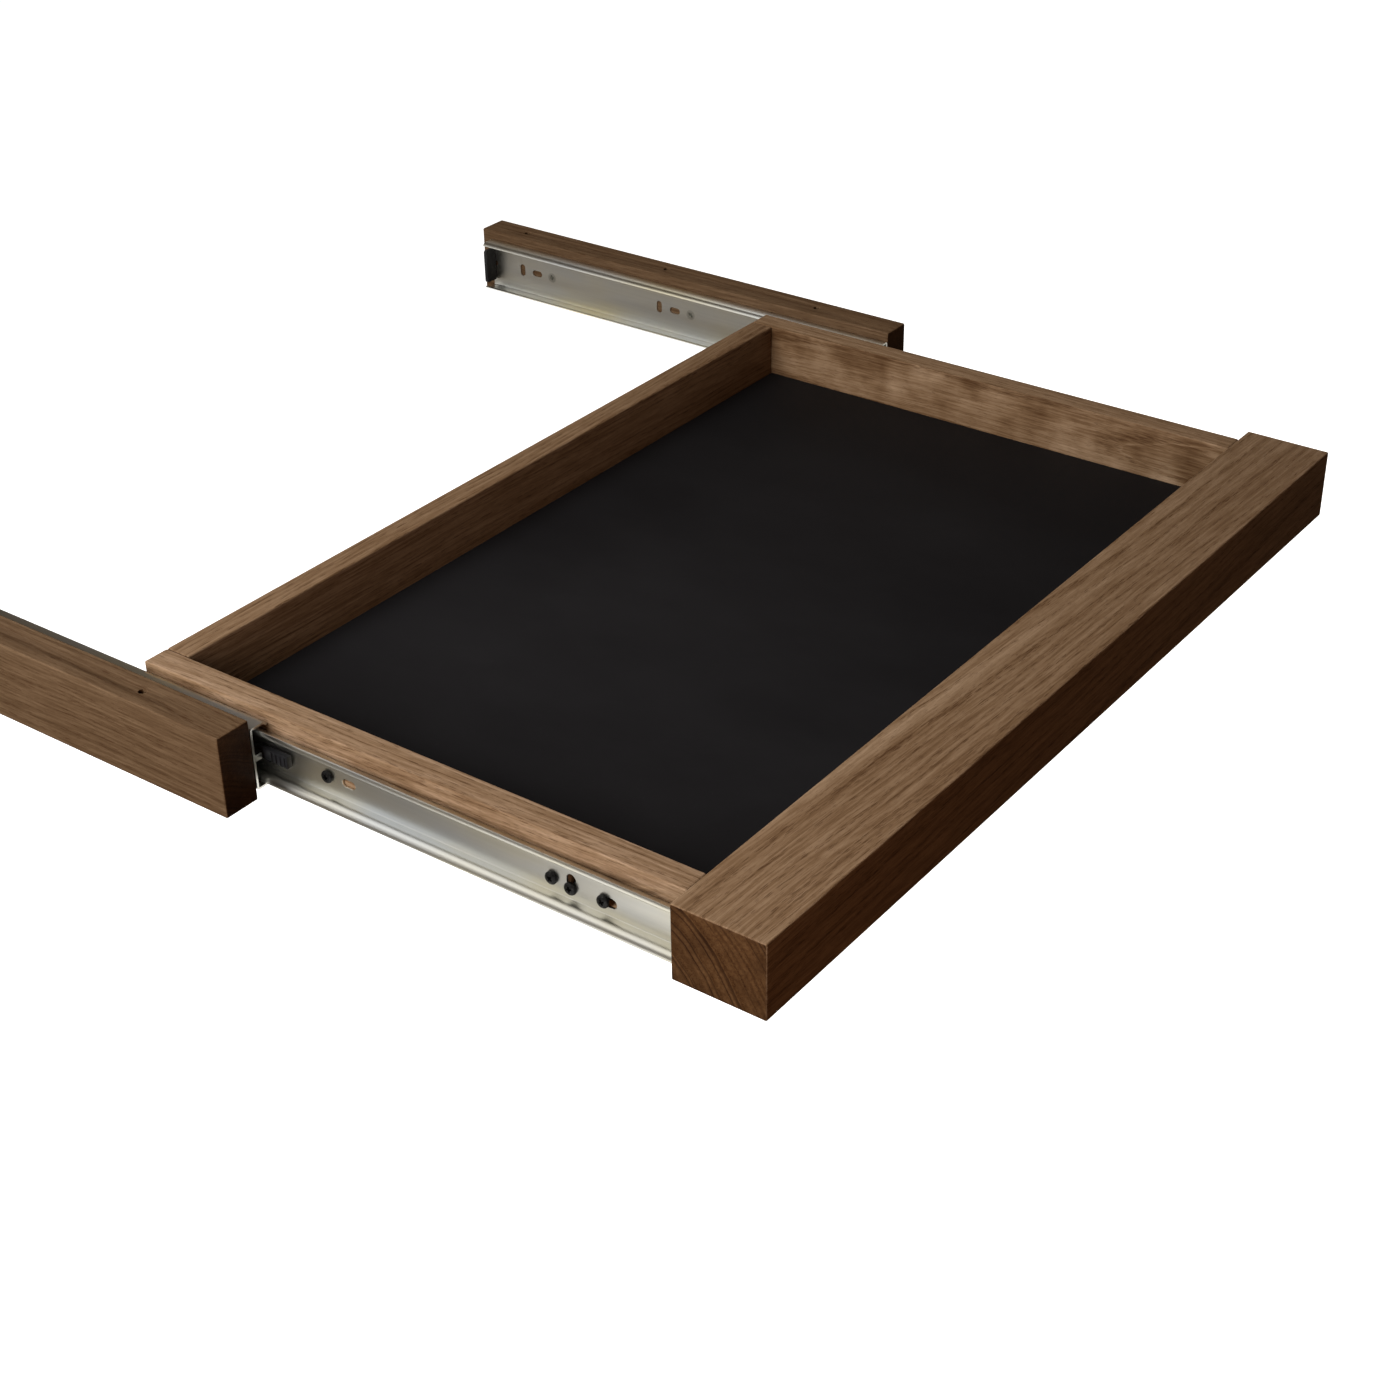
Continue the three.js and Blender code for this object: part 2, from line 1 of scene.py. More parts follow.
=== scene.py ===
"""Under desk drawer: a shallow stained-oak drawer drawn out on two ball-bearing slides.

Lengths are in metres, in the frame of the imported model. The wooden pieces, levers and bumpers are the
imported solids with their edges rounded. The slides, balls, screws, rivets and dowels are built here in
mesh code. Every material is made of nodes.
"""

import json
import math
import random

import bmesh
import bpy
from mathutils import Matrix, Vector

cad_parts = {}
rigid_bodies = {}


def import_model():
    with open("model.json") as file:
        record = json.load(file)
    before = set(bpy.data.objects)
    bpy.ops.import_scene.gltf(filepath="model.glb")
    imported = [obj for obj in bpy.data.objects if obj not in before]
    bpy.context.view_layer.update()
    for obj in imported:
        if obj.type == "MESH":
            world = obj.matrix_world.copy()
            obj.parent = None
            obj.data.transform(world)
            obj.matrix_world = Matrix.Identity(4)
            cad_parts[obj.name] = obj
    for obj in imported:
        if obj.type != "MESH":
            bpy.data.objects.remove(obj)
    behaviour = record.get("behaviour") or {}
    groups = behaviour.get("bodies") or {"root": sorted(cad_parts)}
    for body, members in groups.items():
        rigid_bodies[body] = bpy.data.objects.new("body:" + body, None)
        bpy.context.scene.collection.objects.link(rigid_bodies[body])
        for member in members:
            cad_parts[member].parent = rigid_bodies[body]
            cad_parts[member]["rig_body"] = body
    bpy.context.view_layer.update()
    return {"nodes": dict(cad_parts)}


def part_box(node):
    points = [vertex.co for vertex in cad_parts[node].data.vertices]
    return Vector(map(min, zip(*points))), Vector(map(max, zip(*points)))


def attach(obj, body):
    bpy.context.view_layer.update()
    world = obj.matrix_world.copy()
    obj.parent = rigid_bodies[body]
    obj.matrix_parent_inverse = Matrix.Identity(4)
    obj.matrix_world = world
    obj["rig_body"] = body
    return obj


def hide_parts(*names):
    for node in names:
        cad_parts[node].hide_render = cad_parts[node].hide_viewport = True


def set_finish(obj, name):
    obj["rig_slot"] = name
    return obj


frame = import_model()

MM = 0.001
HANDS = ("left", "right")

# ------------------------------------------------------------------ driving dimensions

SHEET = 1.2 * MM                    # steel of both slide members
SLIDE_SPACE = 12.7 * MM             # from the bearer to the drawer's side
BALL_RADIUS = 2.6 * MM
BALL_DEPTH = 8.35 * MM              # ball centres, out from the bearer
BALL_HEIGHT = 14.5 * MM             # ball centres, above and below the slide's centre line
BALL_PITCH = 9 * MM
BALLS_IN_ROW = 8
GROOVE = BALL_RADIUS + 0.15 * MM + SHEET / 2
BEND = 1.2 * MM
SLOT_LENGTH, SLOT_WIDTH = 9 * MM, 4.6 * MM
SAME_POINT = 0.001 * MM             # points closer than this are one

SLIDE_LOW, SLIDE_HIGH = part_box("cabinet_member_left")
SLIDE_Z = (SLIDE_LOW.z + SLIDE_HIGH.z) / 2
SEAT_X = SLIDE_LOW.x                # inner face of the left-hand bearer

SCREW_PLACES = {}
for part in ("front", "middle", "inner", "rear"):
    head_low, head_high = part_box(f"slide_screw_{part}_left")
    SCREW_PLACES[part] = ((head_low.y + head_high.y) / 2, (head_low.z + head_high.z) / 2 - SLIDE_Z)
PIVOT_LOW, PIVOT_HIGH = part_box("lever_rivet_left")
PIVOT_Y = (PIVOT_LOW.y + PIVOT_HIGH.y) / 2
CABINET_SCREW_Y = []
for number in (1, 2, 3):
    head_low, head_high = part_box(f"cabinet_screw_{number}_left")
    CABINET_SCREW_Y.append((head_low.y + head_high.y) / 2)

# Holes in the web of a drawer member: y, z, length and height of each.
SLIDE_HOLES = {
    "front": (SCREW_PLACES["front"][0] - 2 * MM, SCREW_PLACES["front"][1], 11 * MM, 5.4 * MM),
    "middle": (SCREW_PLACES["middle"][0], SCREW_PLACES["middle"][1] + 1.8 * MM, 5.4 * MM, 11.5 * MM),
    "inner": (*SCREW_PLACES["inner"], SLOT_WIDTH, SLOT_WIDTH),
    "rear": (*SCREW_PLACES["rear"], SLOT_WIDTH, SLOT_WIDTH),
    "spare": (SCREW_PLACES["rear"][0] - 14 * MM, 0, SLOT_LENGTH, SLOT_WIDTH),
    "pivot": (PIVOT_Y, 0, 4.4 * MM, 4.4 * MM),
}


# ------------------------------------------------------------------ mesh helpers

def new_piece(name, mesh, body, slot, material, replaced=(), sharp=30):
    """Links a finished mesh as a piece that rides on a body and stands for CAD nodes."""
    piece = bpy.data.objects.new(name, mesh)
    bpy.context.scene.collection.objects.link(piece)
    mesh.materials.clear()
    mesh.materials.append(material)
    mesh.shade_smooth()
    mesh.set_sharp_from_angle(angle=math.radians(sharp))
    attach(piece, body)
    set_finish(piece, slot)
    if replaced:
        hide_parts(*replaced)
    return piece


def to_mesh(bm, name):
    """Turns a bmesh into a mesh with its faces pointing out and no edge of no length."""
    bmesh.ops.dissolve_degenerate(bm, dist=SAME_POINT, edges=bm.edges)
    bmesh.ops.recalc_face_normals(bm, faces=bm.faces)
    mesh = bpy.data.meshes.new(name)
    bm.to_mesh(mesh)
    bm.free()
    return mesh


def body_of(node):
    return frame["nodes"][node]["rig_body"]


def round_edges(bm, width, segments=2, angle=20):
    """Rounds each edge that turns by more than an angle."""
    flat = math.radians(1.5)
    bmesh.ops.remove_doubles(bm, verts=bm.verts, dist=SAME_POINT)
    bmesh.ops.dissolve_limit(bm, angle_limit=flat, verts=bm.verts, edges=bm.edges)
    sharp = [e for e in bm.edges if e.is_manifold and e.calc_face_angle(0) > math.radians(angle)]
    bmesh.ops.bevel(
        bm, geom=sharp, offset=width, offset_type="OFFSET", segments=segments, profile=0.5,
        affect="EDGES", clamp_overlap=True)


def refined(node, slot, material, width=0.25 * MM, segments=2, punches=()):
    """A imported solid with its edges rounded, and with any punches cut out of it."""
    bm = bmesh.new()
    bm.from_mesh(frame["nodes"][node].data)
    round_edges(bm, width, segments)
    if punches:
        bmesh.ops.triangulate(bm, faces=bm.faces)
    mesh = to_mesh(bm, node)
    if punches:
        mesh = cut(mesh, punches)
        mesh.name = node
    return new_piece(node + "_finished", mesh, body_of(node), slot, material, [node])


def cut(mesh, cutters):
    """Cuts closed meshes out of a closed mesh."""
    scene = bpy.context.scene
    target = bpy.data.objects.new("cut_target", mesh)
    scene.collection.objects.link(target)
    helpers = []
    for cutter in cutters:
        helper = bpy.data.objects.new("cut_tool", cutter)
        scene.collection.objects.link(helper)
        helpers.append(helper)
        modifier = target.modifiers.new("cut", "BOOLEAN")
        modifier.operation = "DIFFERENCE"
        modifier.solver = "EXACT"
        modifier.object = helper
    evaluated = target.evaluated_get(bpy.context.evaluated_depsgraph_get())
    result = bpy.data.meshes.new_from_object(evaluated)
    for helper in [*helpers, target]:
        bpy.data.objects.remove(helper)
    return result


def prism(outline, start, end):
    """A closed outline of (x, z) points drawn out along Y."""
    bm = bmesh.new()
    rings = [[bm.verts.new((x, y, z)) for x, z in outline] for y in (start, end)]
    count = len(outline)
    for i in range(count):
        j = (i + 1) % count
        bm.faces.new((rings[0][i], rings[0][j], rings[1][j], rings[1][i]))
    bm.faces.new(rings[0])
    bm.faces.new(rings[1])
    return to_mesh(bm, "prism")


def lathe(profile, segments=32):
    """A closed solid turned about X from (along, radius) points that start and end on the axis."""
    bm = bmesh.new()
    rings = []
    for along, radius in profile:
        if radius == 0:
            rings.append([bm.verts.new((along, 0, 0))])
            continue
        turns = (2 * math.pi * k / segments for k in range(segments))
        rings.append([
            bm.verts.new((along, radius * math.cos(a), radius * math.sin(a))) for a in turns])
    for one, two in zip(rings, rings[1:]):
        for k in range(segments):
            m = (k + 1) % segments
            corners = [one[k % len(one)], one[m % len(one)], two[m % len(two)], two[k % len(two)]]
            bm.faces.new(list(dict.fromkeys(corners)))
    return to_mesh(bm, "turned")


def moved(mesh, matrix):
    """The same mesh, transformed and still facing out."""
    mesh.transform(matrix)
    if matrix.determinant() < 0:
        mesh.flip_normals()
    return mesh


def joined(meshes, name):
    """One mesh that holds several closed solids."""
    bm = bmesh.new()
    for mesh in meshes:
        bm.from_mesh(mesh)
    return to_mesh(bm, name)


def on_slide(hand):
    """Takes a piece drawn as (out from the bearer, Y, up from the centre line) to its slide."""
    side = 1 if hand == "left" else -1
    place = Matrix.Translation((side * SEAT_X, 0, SLIDE_Z))
    return place @ Matrix.Diagonal((side, 1, 1, 1))


def arc(centre, radius, start, end, steps):
    """Points along an arc with their left-hand normals, angles in degrees."""
    side = -1 if end > start else 1
    points = []
    for k in range(steps + 1):
        a = math.radians(start + (end - start) * k / steps)
        ray = Vector((math.cos(a), math.sin(a)))
        points.append((Vector(centre) + radius * ray, side * ray))
    return points


def sheet_outline(path, thickness):
    """Closed outline of sheet metal bent along a path."""
    left = [p + n * thickness / 2 for p, n in path]
    right = [p - n * thickness / 2 for p, n in path]
    return left + right[::-1]


def slot_tool(y, z, length, height, low, high, steps=12):
    """A slotted punch through a web that faces X, between two depths."""
    radius = min(length, height) / 2
    corners = ((1, 1, 0), (-1, 1, 90), (-1, -1, 180), (1, -1, 270))
    outline = []
    for sy, sz, start in corners:
        for k in range(steps + 1):
            a = math.radians(start + 90 * k / steps)
            outline.append((
                y + sy * (length / 2 - radius) + radius * math.cos(a),
                z + sz * (height / 2 - radius) + radius * math.sin(a)))
    bm = bmesh.new()
    rings = [[bm.verts.new((x, b, c)) for b, c in outline] for x in (low, high)]
    count = len(outline)
    for i in range(count):
        j = (i + 1) % count
        bm.faces.new((rings[0][i], rings[0][j], rings[1][j], rings[1][i]))
    bm.faces.new(rings[0])
    bm.faces.new(rings[1])
    bmesh.ops.remove_doubles(bm, verts=bm.verts, dist=1e-7)
    return to_mesh(bm, "punch")


def box_tool(low, high):
    """A box between two corners, for cutting or joining."""
    bm = bmesh.new()
    bmesh.ops.create_cube(bm, size=1)
    for v in bm.verts:
        for axis in range(3):
            v.co[axis] = high[axis] if v.co[axis] > 0 else low[axis]
    return to_mesh(bm, "box")


# ------------------------------------------------------------------ node helpers

class Shader:
    """A node material under construction."""

    def __init__(self, name):
        self.material = bpy.data.materials.new(name)
        self.material.use_nodes = True
        self.tree = self.material.node_tree
        self.tree.nodes.clear()
        self.coordinates = self.node("ShaderNodeTexCoord")

    def node(self, kind, inputs=None, **settings):
        node = self.tree.nodes.new(kind)
        for key, value in settings.items():
            setattr(node, key, value)
        for key, value in (inputs or {}).items():
            if isinstance(value, bpy.types.NodeSocket):
                self.tree.links.new(value, node.inputs[key])
            else:
                node.inputs[key].default_value = value
        return node

    def math(self, operation, *values, clamp=False):
        inputs = dict(enumerate(values))
        return self.node("ShaderNodeMath", inputs, operation=operation, use_clamp=clamp).outputs[0]

    def vector(self, operation, *values):
        inputs = dict(enumerate(values))
        node = self.node("ShaderNodeVectorMath", inputs, operation=operation)
        return node.outputs["Value" if operation in ("LENGTH", "DOT_PRODUCT") else "Vector"]

    def place(self, turn=(0, 0, 0), shift=(0, 0, 0)):
        """Object coordinates, turned and then shifted."""
        inputs = {"Vector": self.coordinates.outputs["Object"], "Rotation": turn, "Location": shift}
        return self.node("ShaderNodeMapping", inputs).outputs["Vector"]

    def noise(self, vector, stretch, detail=2.0, roughness=0.5, output="Fac"):
        inputs = {
            "Vector": self.vector("MULTIPLY", vector, stretch), "Scale": 1.0, "Detail": detail,
            "Roughness": roughness}
        return self.node("ShaderNodeTexNoise", inputs).outputs[output]

    def cells(self, vector, stretch):
        inputs = {"Vector": self.vector("MULTIPLY", vector, stretch), "Scale": 1.0}
        return self.node("ShaderNodeTexVoronoi", inputs).outputs["Distance"]

    def ranged(self, value, low, high, to_low=0.0, to_high=1.0):
        inputs = {
            "Value": value, "From Min": low, "From Max": high, "To Min": to_low, "To Max": to_high}
        node = self.node("ShaderNodeMapRange", inputs, interpolation_type="SMOOTHSTEP")
        return node.outputs["Result"]

    def ramp(self, factor, stops):
        node = self.node("ShaderNodeValToRGB", {"Fac": factor})
        elements = node.color_ramp.elements
        while len(elements) < len(stops):
            elements.new(0.5)
        for element, (position, colour) in zip(elements, stops):
            element.position = position
            element.color = colour
        return node.outputs["Color"]

    def mix(self, factor, one, two, blend="MIX"):
        node = self.node("ShaderNodeMix", data_type="RGBA", blend_type=blend)
        for key, value in (("Factor_Float", factor), ("A_Color", one), ("B_Color", two)):
            socket = next(s for s in node.inputs if s.identifier == key)
            if isinstance(value, bpy.types.NodeSocket):
                self.tree.links.new(value, socket)
            else:
                socket.default_value = value
        return next(s for s in node.outputs if s.identifier == "Result_Color")

    def bump(self, height, distance, strength=1.0, normal=None):
        inputs = {"Height": height, "Distance": distance, "Strength": strength}
        if normal is not None:
            inputs["Normal"] = normal
        return self.node("ShaderNodeBump", inputs).outputs["Normal"]

    def finish(self, **inputs):
        """Closes the material with a Principled shader; underscores stand for spaces."""
        named = {key.replace("_", " "): value for key, value in inputs.items()}
        shader = self.node("ShaderNodeBsdfPrincipled", named)
        output = self.node("ShaderNodeOutputMaterial")
        self.tree.links.new(shader.outputs[0], output.inputs[0])
        return self.material


def srgb(red, green, blue):
    """A colour given as 8-bit sRGB, in the linear form that nodes take."""
    def linear(value):
        value /= 255
        return value / 12.92 if value <= 0.04045 else ((value + 0.055) / 1.055) ** 2.4
    return (linear(red), linear(green), linear(blue), 1.0)


# ------------------------------------------------------------------ wood

OAK_TONES = (
    (0.00, srgb(74, 51, 31)),
    (0.30, srgb(105, 81, 58)),
    (0.62, srgb(130, 106, 82)),
    (1.00, srgb(158, 134, 109)),
)
LEFT_SIDE_PAINTED_LIGHT_TONES = (                 # painted light: a paler copy of the oak tones, standing in for the brighter light on the near side
    (0.00, srgb(84, 60, 39)),
    (0.30, srgb(118, 93, 69)),
    (0.62, srgb(146, 121, 97)),
    (1.00, srgb(176, 152, 127)),
)
BEARER_TONES = (
    (0.00, srgb(60, 42, 26)),
    (0.35, srgb(84, 64, 45)),
    (0.70, srgb(104, 83, 62)),
    (1.00, srgb(126, 104, 82)),
)
END_GRAIN_STAIN = (0.45, 0.345, 0.245, 1.0)


def oak(name, grain, pith, tones=OAK_TONES, tilt=0.0, ring=2.9, flake=0.0):
    """Stained oak whose rings run round a pith line, so that long and end grain match.

    grain is the axis that the plank is drawn out along, pith is a point on the heart line, tilt is the
    slope of the grain in degrees, ring is the growth of one year in mm, and flake is how much
    figure the quarter-sawn faces show.
    """
    shader = Shader(name)
    turn_z = math.radians(tilt) - (math.pi / 2 if grain == "Y" else 0)
    turn = Matrix.Rotation(turn_z, 3, "Z")
    shift = -(turn @ Vector(pith))
    plank = shader.place((0, 0, turn_z), shift)

    # Growth rings: distance from the pith, pushed about by slow noise.
    sway = shader.noise(plank, (2.2, 14, 14), 2.0, 0.5, "Color")
    sway = shader.vector("SUBTRACT", sway, (0.5, 0.5, 0.5))
    ripple = shader.noise(plank, (14, 90, 90), 2.0, 0.5, "Color")
    ripple = shader.vector("SUBTRACT", ripple, (0.5, 0.5, 0.5))
    bent = shader.vector("ADD", plank, shader.vector("MULTIPLY", sway, (0, 0.016, 0.016)))
    bent = shader.vector("ADD", bent, shader.vector("MULTIPLY", ripple, (0, 0.0016, 0.0016)))
    radial = shader.vector("LENGTH", shader.vector("MULTIPLY", bent, (0, 1, 1)))
    weather = shader.node("ShaderNodeTexNoise", {
        "W": radial, "Scale": 1 / (1.9 * ring * MM), "Detail": 1.0}, noise_dimensions="1D").outputs["Fac"]
    years = shader.math("MULTIPLY_ADD", radial, 1 / (ring * MM), shader.math("MULTIPLY", weather, 2.2))
    season = shader.math("FRACT", years)
    year = shader.math("FLOOR", years)
    year_tone = shader.node(
        "ShaderNodeTexWhiteNoise", {"W": year}, noise_dimensions="1D").outputs["Value"]
    early = shader.math("MULTIPLY", shader.ranged(season, 0.0, 0.12), shader.ranged(season, 0.55, 0.18))
    late = shader.math("MULTIPLY", shader.ranged(season, 0.6, 0.97), shader.ranged(season, 1.0, 0.975))

    # Vessels: long dark dashes, thickest in the early wood, that show as dots on end grain.
    vessels = shader.cells(bent, (105, 1500, 1500))
    reach = shader.math("MULTIPLY_ADD", early, 0.20, 0.17)
    pores = shader.ranged(shader.math("SUBTRACT", reach, vessels), -0.04, 0.07)
    small_vessels = shader.cells(plank, (170, 2900, 2900))
    pinholes = shader.ranged(small_vessels, 0.34, 0.16, 0.0, 0.6)
    pores = shader.math("MAXIMUM", pores, pinholes)
    fibre = shader.noise(bent, (55, 1500, 1500), 3.0, 0.6)
    fleck = shader.ranged(shader.noise(bent, (42, 820, 820), 2.0, 0.5), 0.30, 0.70)
    streak = shader.noise(bent, (3.2, 270, 270), 3.0, 0.55)
    cloud = shader.noise(plank, (3.5, 26, 26), 3.0, 0.5)

    tone = shader.math("MULTIPLY_ADD", streak, 0.34, -0.02)
    tone = shader.math("MULTIPLY_ADD", fleck, 0.26, tone)
    tone = shader.math("MULTIPLY_ADD", fibre, 0.34, tone)
    tone = shader.math("MULTIPLY_ADD", cloud, 0.36, tone)
    tone = shader.math("MULTIPLY_ADD", year_tone, 0.10, tone)
    tone = shader.math("MULTIPLY_ADD", early, -0.16, tone)
    tone = shader.math("MULTIPLY_ADD", late, -0.10, tone)
    if flake:
        curl = shader.noise(plank, (36, 12, 26), 2.0, 0.5)
        patch = shader.noise(plank, (7, 12, 30), 2.0, 0.5)
        curl = shader.math("MULTIPLY", shader.math("SUBTRACT", curl, 0.58), patch)
        across = shader.vector("DOT_PRODUCT", shader.coordinates.outputs["Normal"], (1, 0, 0))
        curl = shader.math("MULTIPLY", curl, shader.ranged(shader.math("ABSOLUTE", across), 0.3, 0.9))
        tone = shader.math("MULTIPLY_ADD", curl, flake, tone)
    tone = shader.math("SUBTRACT", tone, 0.21, clamp=True)
    colour = shader.ramp(tone, tones)
    colour = shader.mix(shader.math("MULTIPLY", pores, 0.62), colour, srgb(60, 38, 22), "MIX")

    # End grain drinks more stain, and each ring edge is a dark line there.
    normal = shader.coordinates.outputs["Normal"]
    axis = turn.transposed() @ Vector((1, 0, 0))
    facing = shader.math("ABSOLUTE", shader.vector("DOT_PRODUCT", normal, axis))
    end = shader.ranged(facing, 0.6, 0.9)
    band = shader.ranged(shader.noise(bent, (1, 60, 60), 2.0, 0.5), 0.42, 0.64)
    strength = shader.math("MULTIPLY_ADD", year_tone, 0.95, shader.math("MULTIPLY", band, 0.30))
    ring_line = shader.math("MULTIPLY", shader.math("ADD", early, late), strength, clamp=True)
    ring_line = shader.math("MAXIMUM", ring_line, shader.math("MULTIPLY", band, 0.46))
    speck = shader.ranged(shader.noise(plank, (60, 900, 900), 2.0, 0.6), 0.42, 0.68, 0.0, 0.34)
    ring_line = shader.math("MAXIMUM", ring_line, speck)
    end_colour = shader.mix(1.0, colour, END_GRAIN_STAIN, "MULTIPLY")
    end_colour = shader.mix(ring_line, end_colour, srgb(38, 21, 10))
    colour = shader.mix(end, colour, end_colour)

    height = shader.math("MULTIPLY_ADD", pores, -0.8, shader.math("MULTIPLY", fibre, 0.5))
    rough = shader.math("MULTIPLY_ADD", fibre, 0.16, 0.48)
    rough = shader.math("MULTIPLY_ADD", pores, 0.18, rough)
    return shader.finish(
        Base_Color=colour, Roughness=rough, Normal=shader.bump(height, 0.12 * MM, 0.5),
        Specular_IOR_Level=0.22)


def plywood(name):
    """Stained plywood: a veneer face and, on its edges, thin plies that turn about."""
    shader = Shader(name)
    low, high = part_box("bottom_panel")
    sheet = shader.place()
    face = shader.noise(sheet, (5, 130, 130), 3.0, 0.55)
    fibre = shader.noise(sheet, (30, 900, 900), 3.0, 0.6)
    arcs = shader.noise(sheet, (1.8, 9, 1), 2.0, 0.5)
    arcs = shader.math("SINE", shader.math("MULTIPLY", arcs, 60.0))
    tone = shader.math("MULTIPLY_ADD", face, 0.7, shader.math("MULTIPLY_ADD", fibre, 0.3, -0.05))
    tone = shader.math("MULTIPLY_ADD", arcs, 0.07, tone)
    face_colour = shader.ramp(tone, BEARER_TONES)

    # Five plies through the thickness, every other one showing end grain.
    split = shader.node("ShaderNodeSeparateXYZ", {"Vector": sheet}).outputs["Z"]
    ply = shader.math("DIVIDE", shader.math("SUBTRACT", split, low.z), (high.z - low.z) / 5)
    parity = shader.math("FLOORED_MODULO", shader.math("FLOOR", ply), 2.0)
    glue = shader.ranged(shader.math("PINGPONG", ply, 0.5), 0.07, 0.0)
    edge = shader.mix(parity, srgb(126, 96, 68), srgb(78, 54, 35))
    speck = shader.noise(sheet, (700, 700, 2600), 2.0, 0.6)
    edge = shader.mix(shader.math("MULTIPLY", speck, 0.5), edge, srgb(58, 38, 22))
    edge = shader.mix(glue, edge, srgb(36, 22, 12))
    up = shader.node("ShaderNodeSeparateXYZ", {"Vector": shader.coordinates.outputs["Normal"]})
    flat = shader.ranged(shader.math("ABSOLUTE", up.outputs["Z"]), 0.5, 0.8)
    colour = shader.mix(flat, edge, face_colour)
    return shader.finish(
        Base_Color=colour, Roughness=shader.math("MULTIPLY_ADD", fibre, 0.15, 0.5),
        Normal=shader.bump(fibre, 0.1 * MM, 0.4), Specular_IOR_Level=0.3)


def linoleum(name):
    """Matt black furniture linoleum with a fine tooth and faint marbling."""
    shader = Shader(name)
    sheet = shader.place()
    marble = shader.noise(sheet, (9, 5, 9), 5.0, 0.6)
    tooth = shader.noise(sheet, (2600, 2600, 2600), 2.0, 0.5)
    dust = shader.cells(sheet, (140, 140, 140))
    colour = shader.ramp(marble, ((0.30, srgb(22, 21, 22)), (0.75, srgb(29, 28, 29))))
    colour = shader.mix(shader.ranged(dust, 0.05, 0.02, 0.0, 0.35), colour, srgb(60, 60, 61))
    rough = shader.math("MULTIPLY_ADD", marble, 0.14, 0.66)
    return shader.finish(
        Base_Color=colour, Roughness=rough, Normal=shader.bump(tooth, 0.05 * MM, 0.35),
        Specular_IOR_Level=0.12)


def beech(name):
    """Pale beech with its short dark ray flecks, for the fluted dowels."""
    shader = Shader(name)
    rod = shader.place()
    fleck = shader.noise(rod, (900, 220, 900), 2.0, 0.5)
    grain = shader.noise(rod, (160, 24, 160), 3.0, 0.55)
    colour = shader.ramp(grain, ((0.25, srgb(196, 156, 112)), (0.8, srgb(222, 188, 146))))
    colour = shader.mix(shader.ranged(fleck, 0.62, 0.7, 0.0, 0.5), colour, srgb(150, 104, 66))
    return shader.finish(
        Base_Color=colour, Roughness=0.62, Normal=shader.bump(grain, 0.15 * MM, 0.4))


# ------------------------------------------------------------------ metal, plastic and rubber

def zinc(name, roughness=0.34, tint=1.0, rolled=(500, 3, 500), base=(220, 219, 212)):
    """Bright zinc-plated steel: rolling lines, a faint passivation tint and small scuffs."""
    shader = Shader(name)
    sheet = shader.place()
    lines = shader.noise(sheet, rolled, 3.0, 0.6)
    fine = shader.noise(sheet, tuple(4 * s for s in rolled), 2.0, 0.6)
    film = shader.noise(sheet, (24, 11, 40), 2.0, 0.5)
    scuff = shader.noise(sheet, (90, 60, 90), 4.0, 0.65)
    hue = shader.ramp(film, (
        (0.30, srgb(212, 215, 217)), (0.50, srgb(*base)), (0.70, srgb(224, 218, 196))))
    colour = shader.mix(tint, srgb(*base), hue)
    colour = shader.mix(shader.ranged(lines, 0.40, 0.80, 0.0, 0.12), colour, srgb(160, 160, 156))
    rough = shader.math("MULTIPLY_ADD", lines, 0.06, roughness - 0.03)
    rough = shader.math("ADD", rough, shader.ranged(scuff, 0.62, 0.80, 0.0, 0.05))
    height = shader.math("MULTIPLY_ADD", fine, 0.5, lines)
    return shader.finish(
        Base_Color=colour, Metallic=1.0, Roughness=rough, Normal=shader.bump(height, 0.01 * MM, 0.03))


def ball_steel(name):
    """Polished bearing steel under a thin film of grease."""
    shader = Shader(name)
    ball = shader.place()
    film = shader.noise(ball, (420, 420, 420), 3.0, 0.6)
    colour = shader.ramp(film, ((0.35, srgb(176, 176, 172)), (0.7, srgb(214, 214, 212))))
    return shader.finish(
        Base_Color=colour, Metallic=1.0, Roughness=shader.ranged(film, 0.4, 0.75, 0.08, 0.24),
        Normal=shader.bump(film, 0.02 * MM, 0.15))


def black_oxide(name):
    """Black phosphated screw steel, brighter here and there: partly rubbed wear, partly painted glints."""
    shader = Shader(name)
    place = shader.place()
    rubbed_wear_and_glint = shader.noise(place, (700, 700, 700), 4.0, 0.65)
    fine = shader.noise(place, (4200, 4200, 4200), 2.0, 0.5)
    # the lightest stop is partly rubbed wear and partly a painted glint
    colour = shader.ramp(rubbed_wear_and_glint, (
        (0.35, srgb(24, 24, 25)), (0.60, srgb(48, 48, 49)), (0.85, srgb(120, 118, 114))))
    return shader.finish(
        Base_Color=colour, Metallic=0.75, Roughness=shader.ranged(rubbed_wear_and_glint, 0.3, 0.8, 0.42, 0.28),
        Normal=shader.bump(fine, 0.02 * MM, 0.3))


def moulded(name, colour, spread, roughness, grain):
    """Moulded plastic or rubber with a fine spark-eroded grain."""
    shader = Shader(name)
    place = shader.place()
    texture = shader.noise(place, (grain, grain, grain), 3.0, 0.6)
    cloud = shader.noise(place, (60, 60, 60), 3.0, 0.5)
    lighter = tuple(value + spread for value in colour)
    tone = shader.ramp(cloud, ((0.3, srgb(*colour)), (0.75, srgb(*lighter))))
    rough = shader.math("MULTIPLY_ADD", texture, 0.16, roughness - 0.08)
    return shader.finish(
        Base_Color=tone, Roughness=rough, Normal=shader.bump(texture, 0.04 * MM, 0.45))


# ------------------------------------------------------------------ wooden pieces

BAR_LOW, BAR_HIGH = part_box("front_bar")
PITH_BAR = (0, BAR_HIGH.y + 40 * MM, BAR_HIGH.z - 78 * MM)


POCKET_DEPTH = 7 * MM


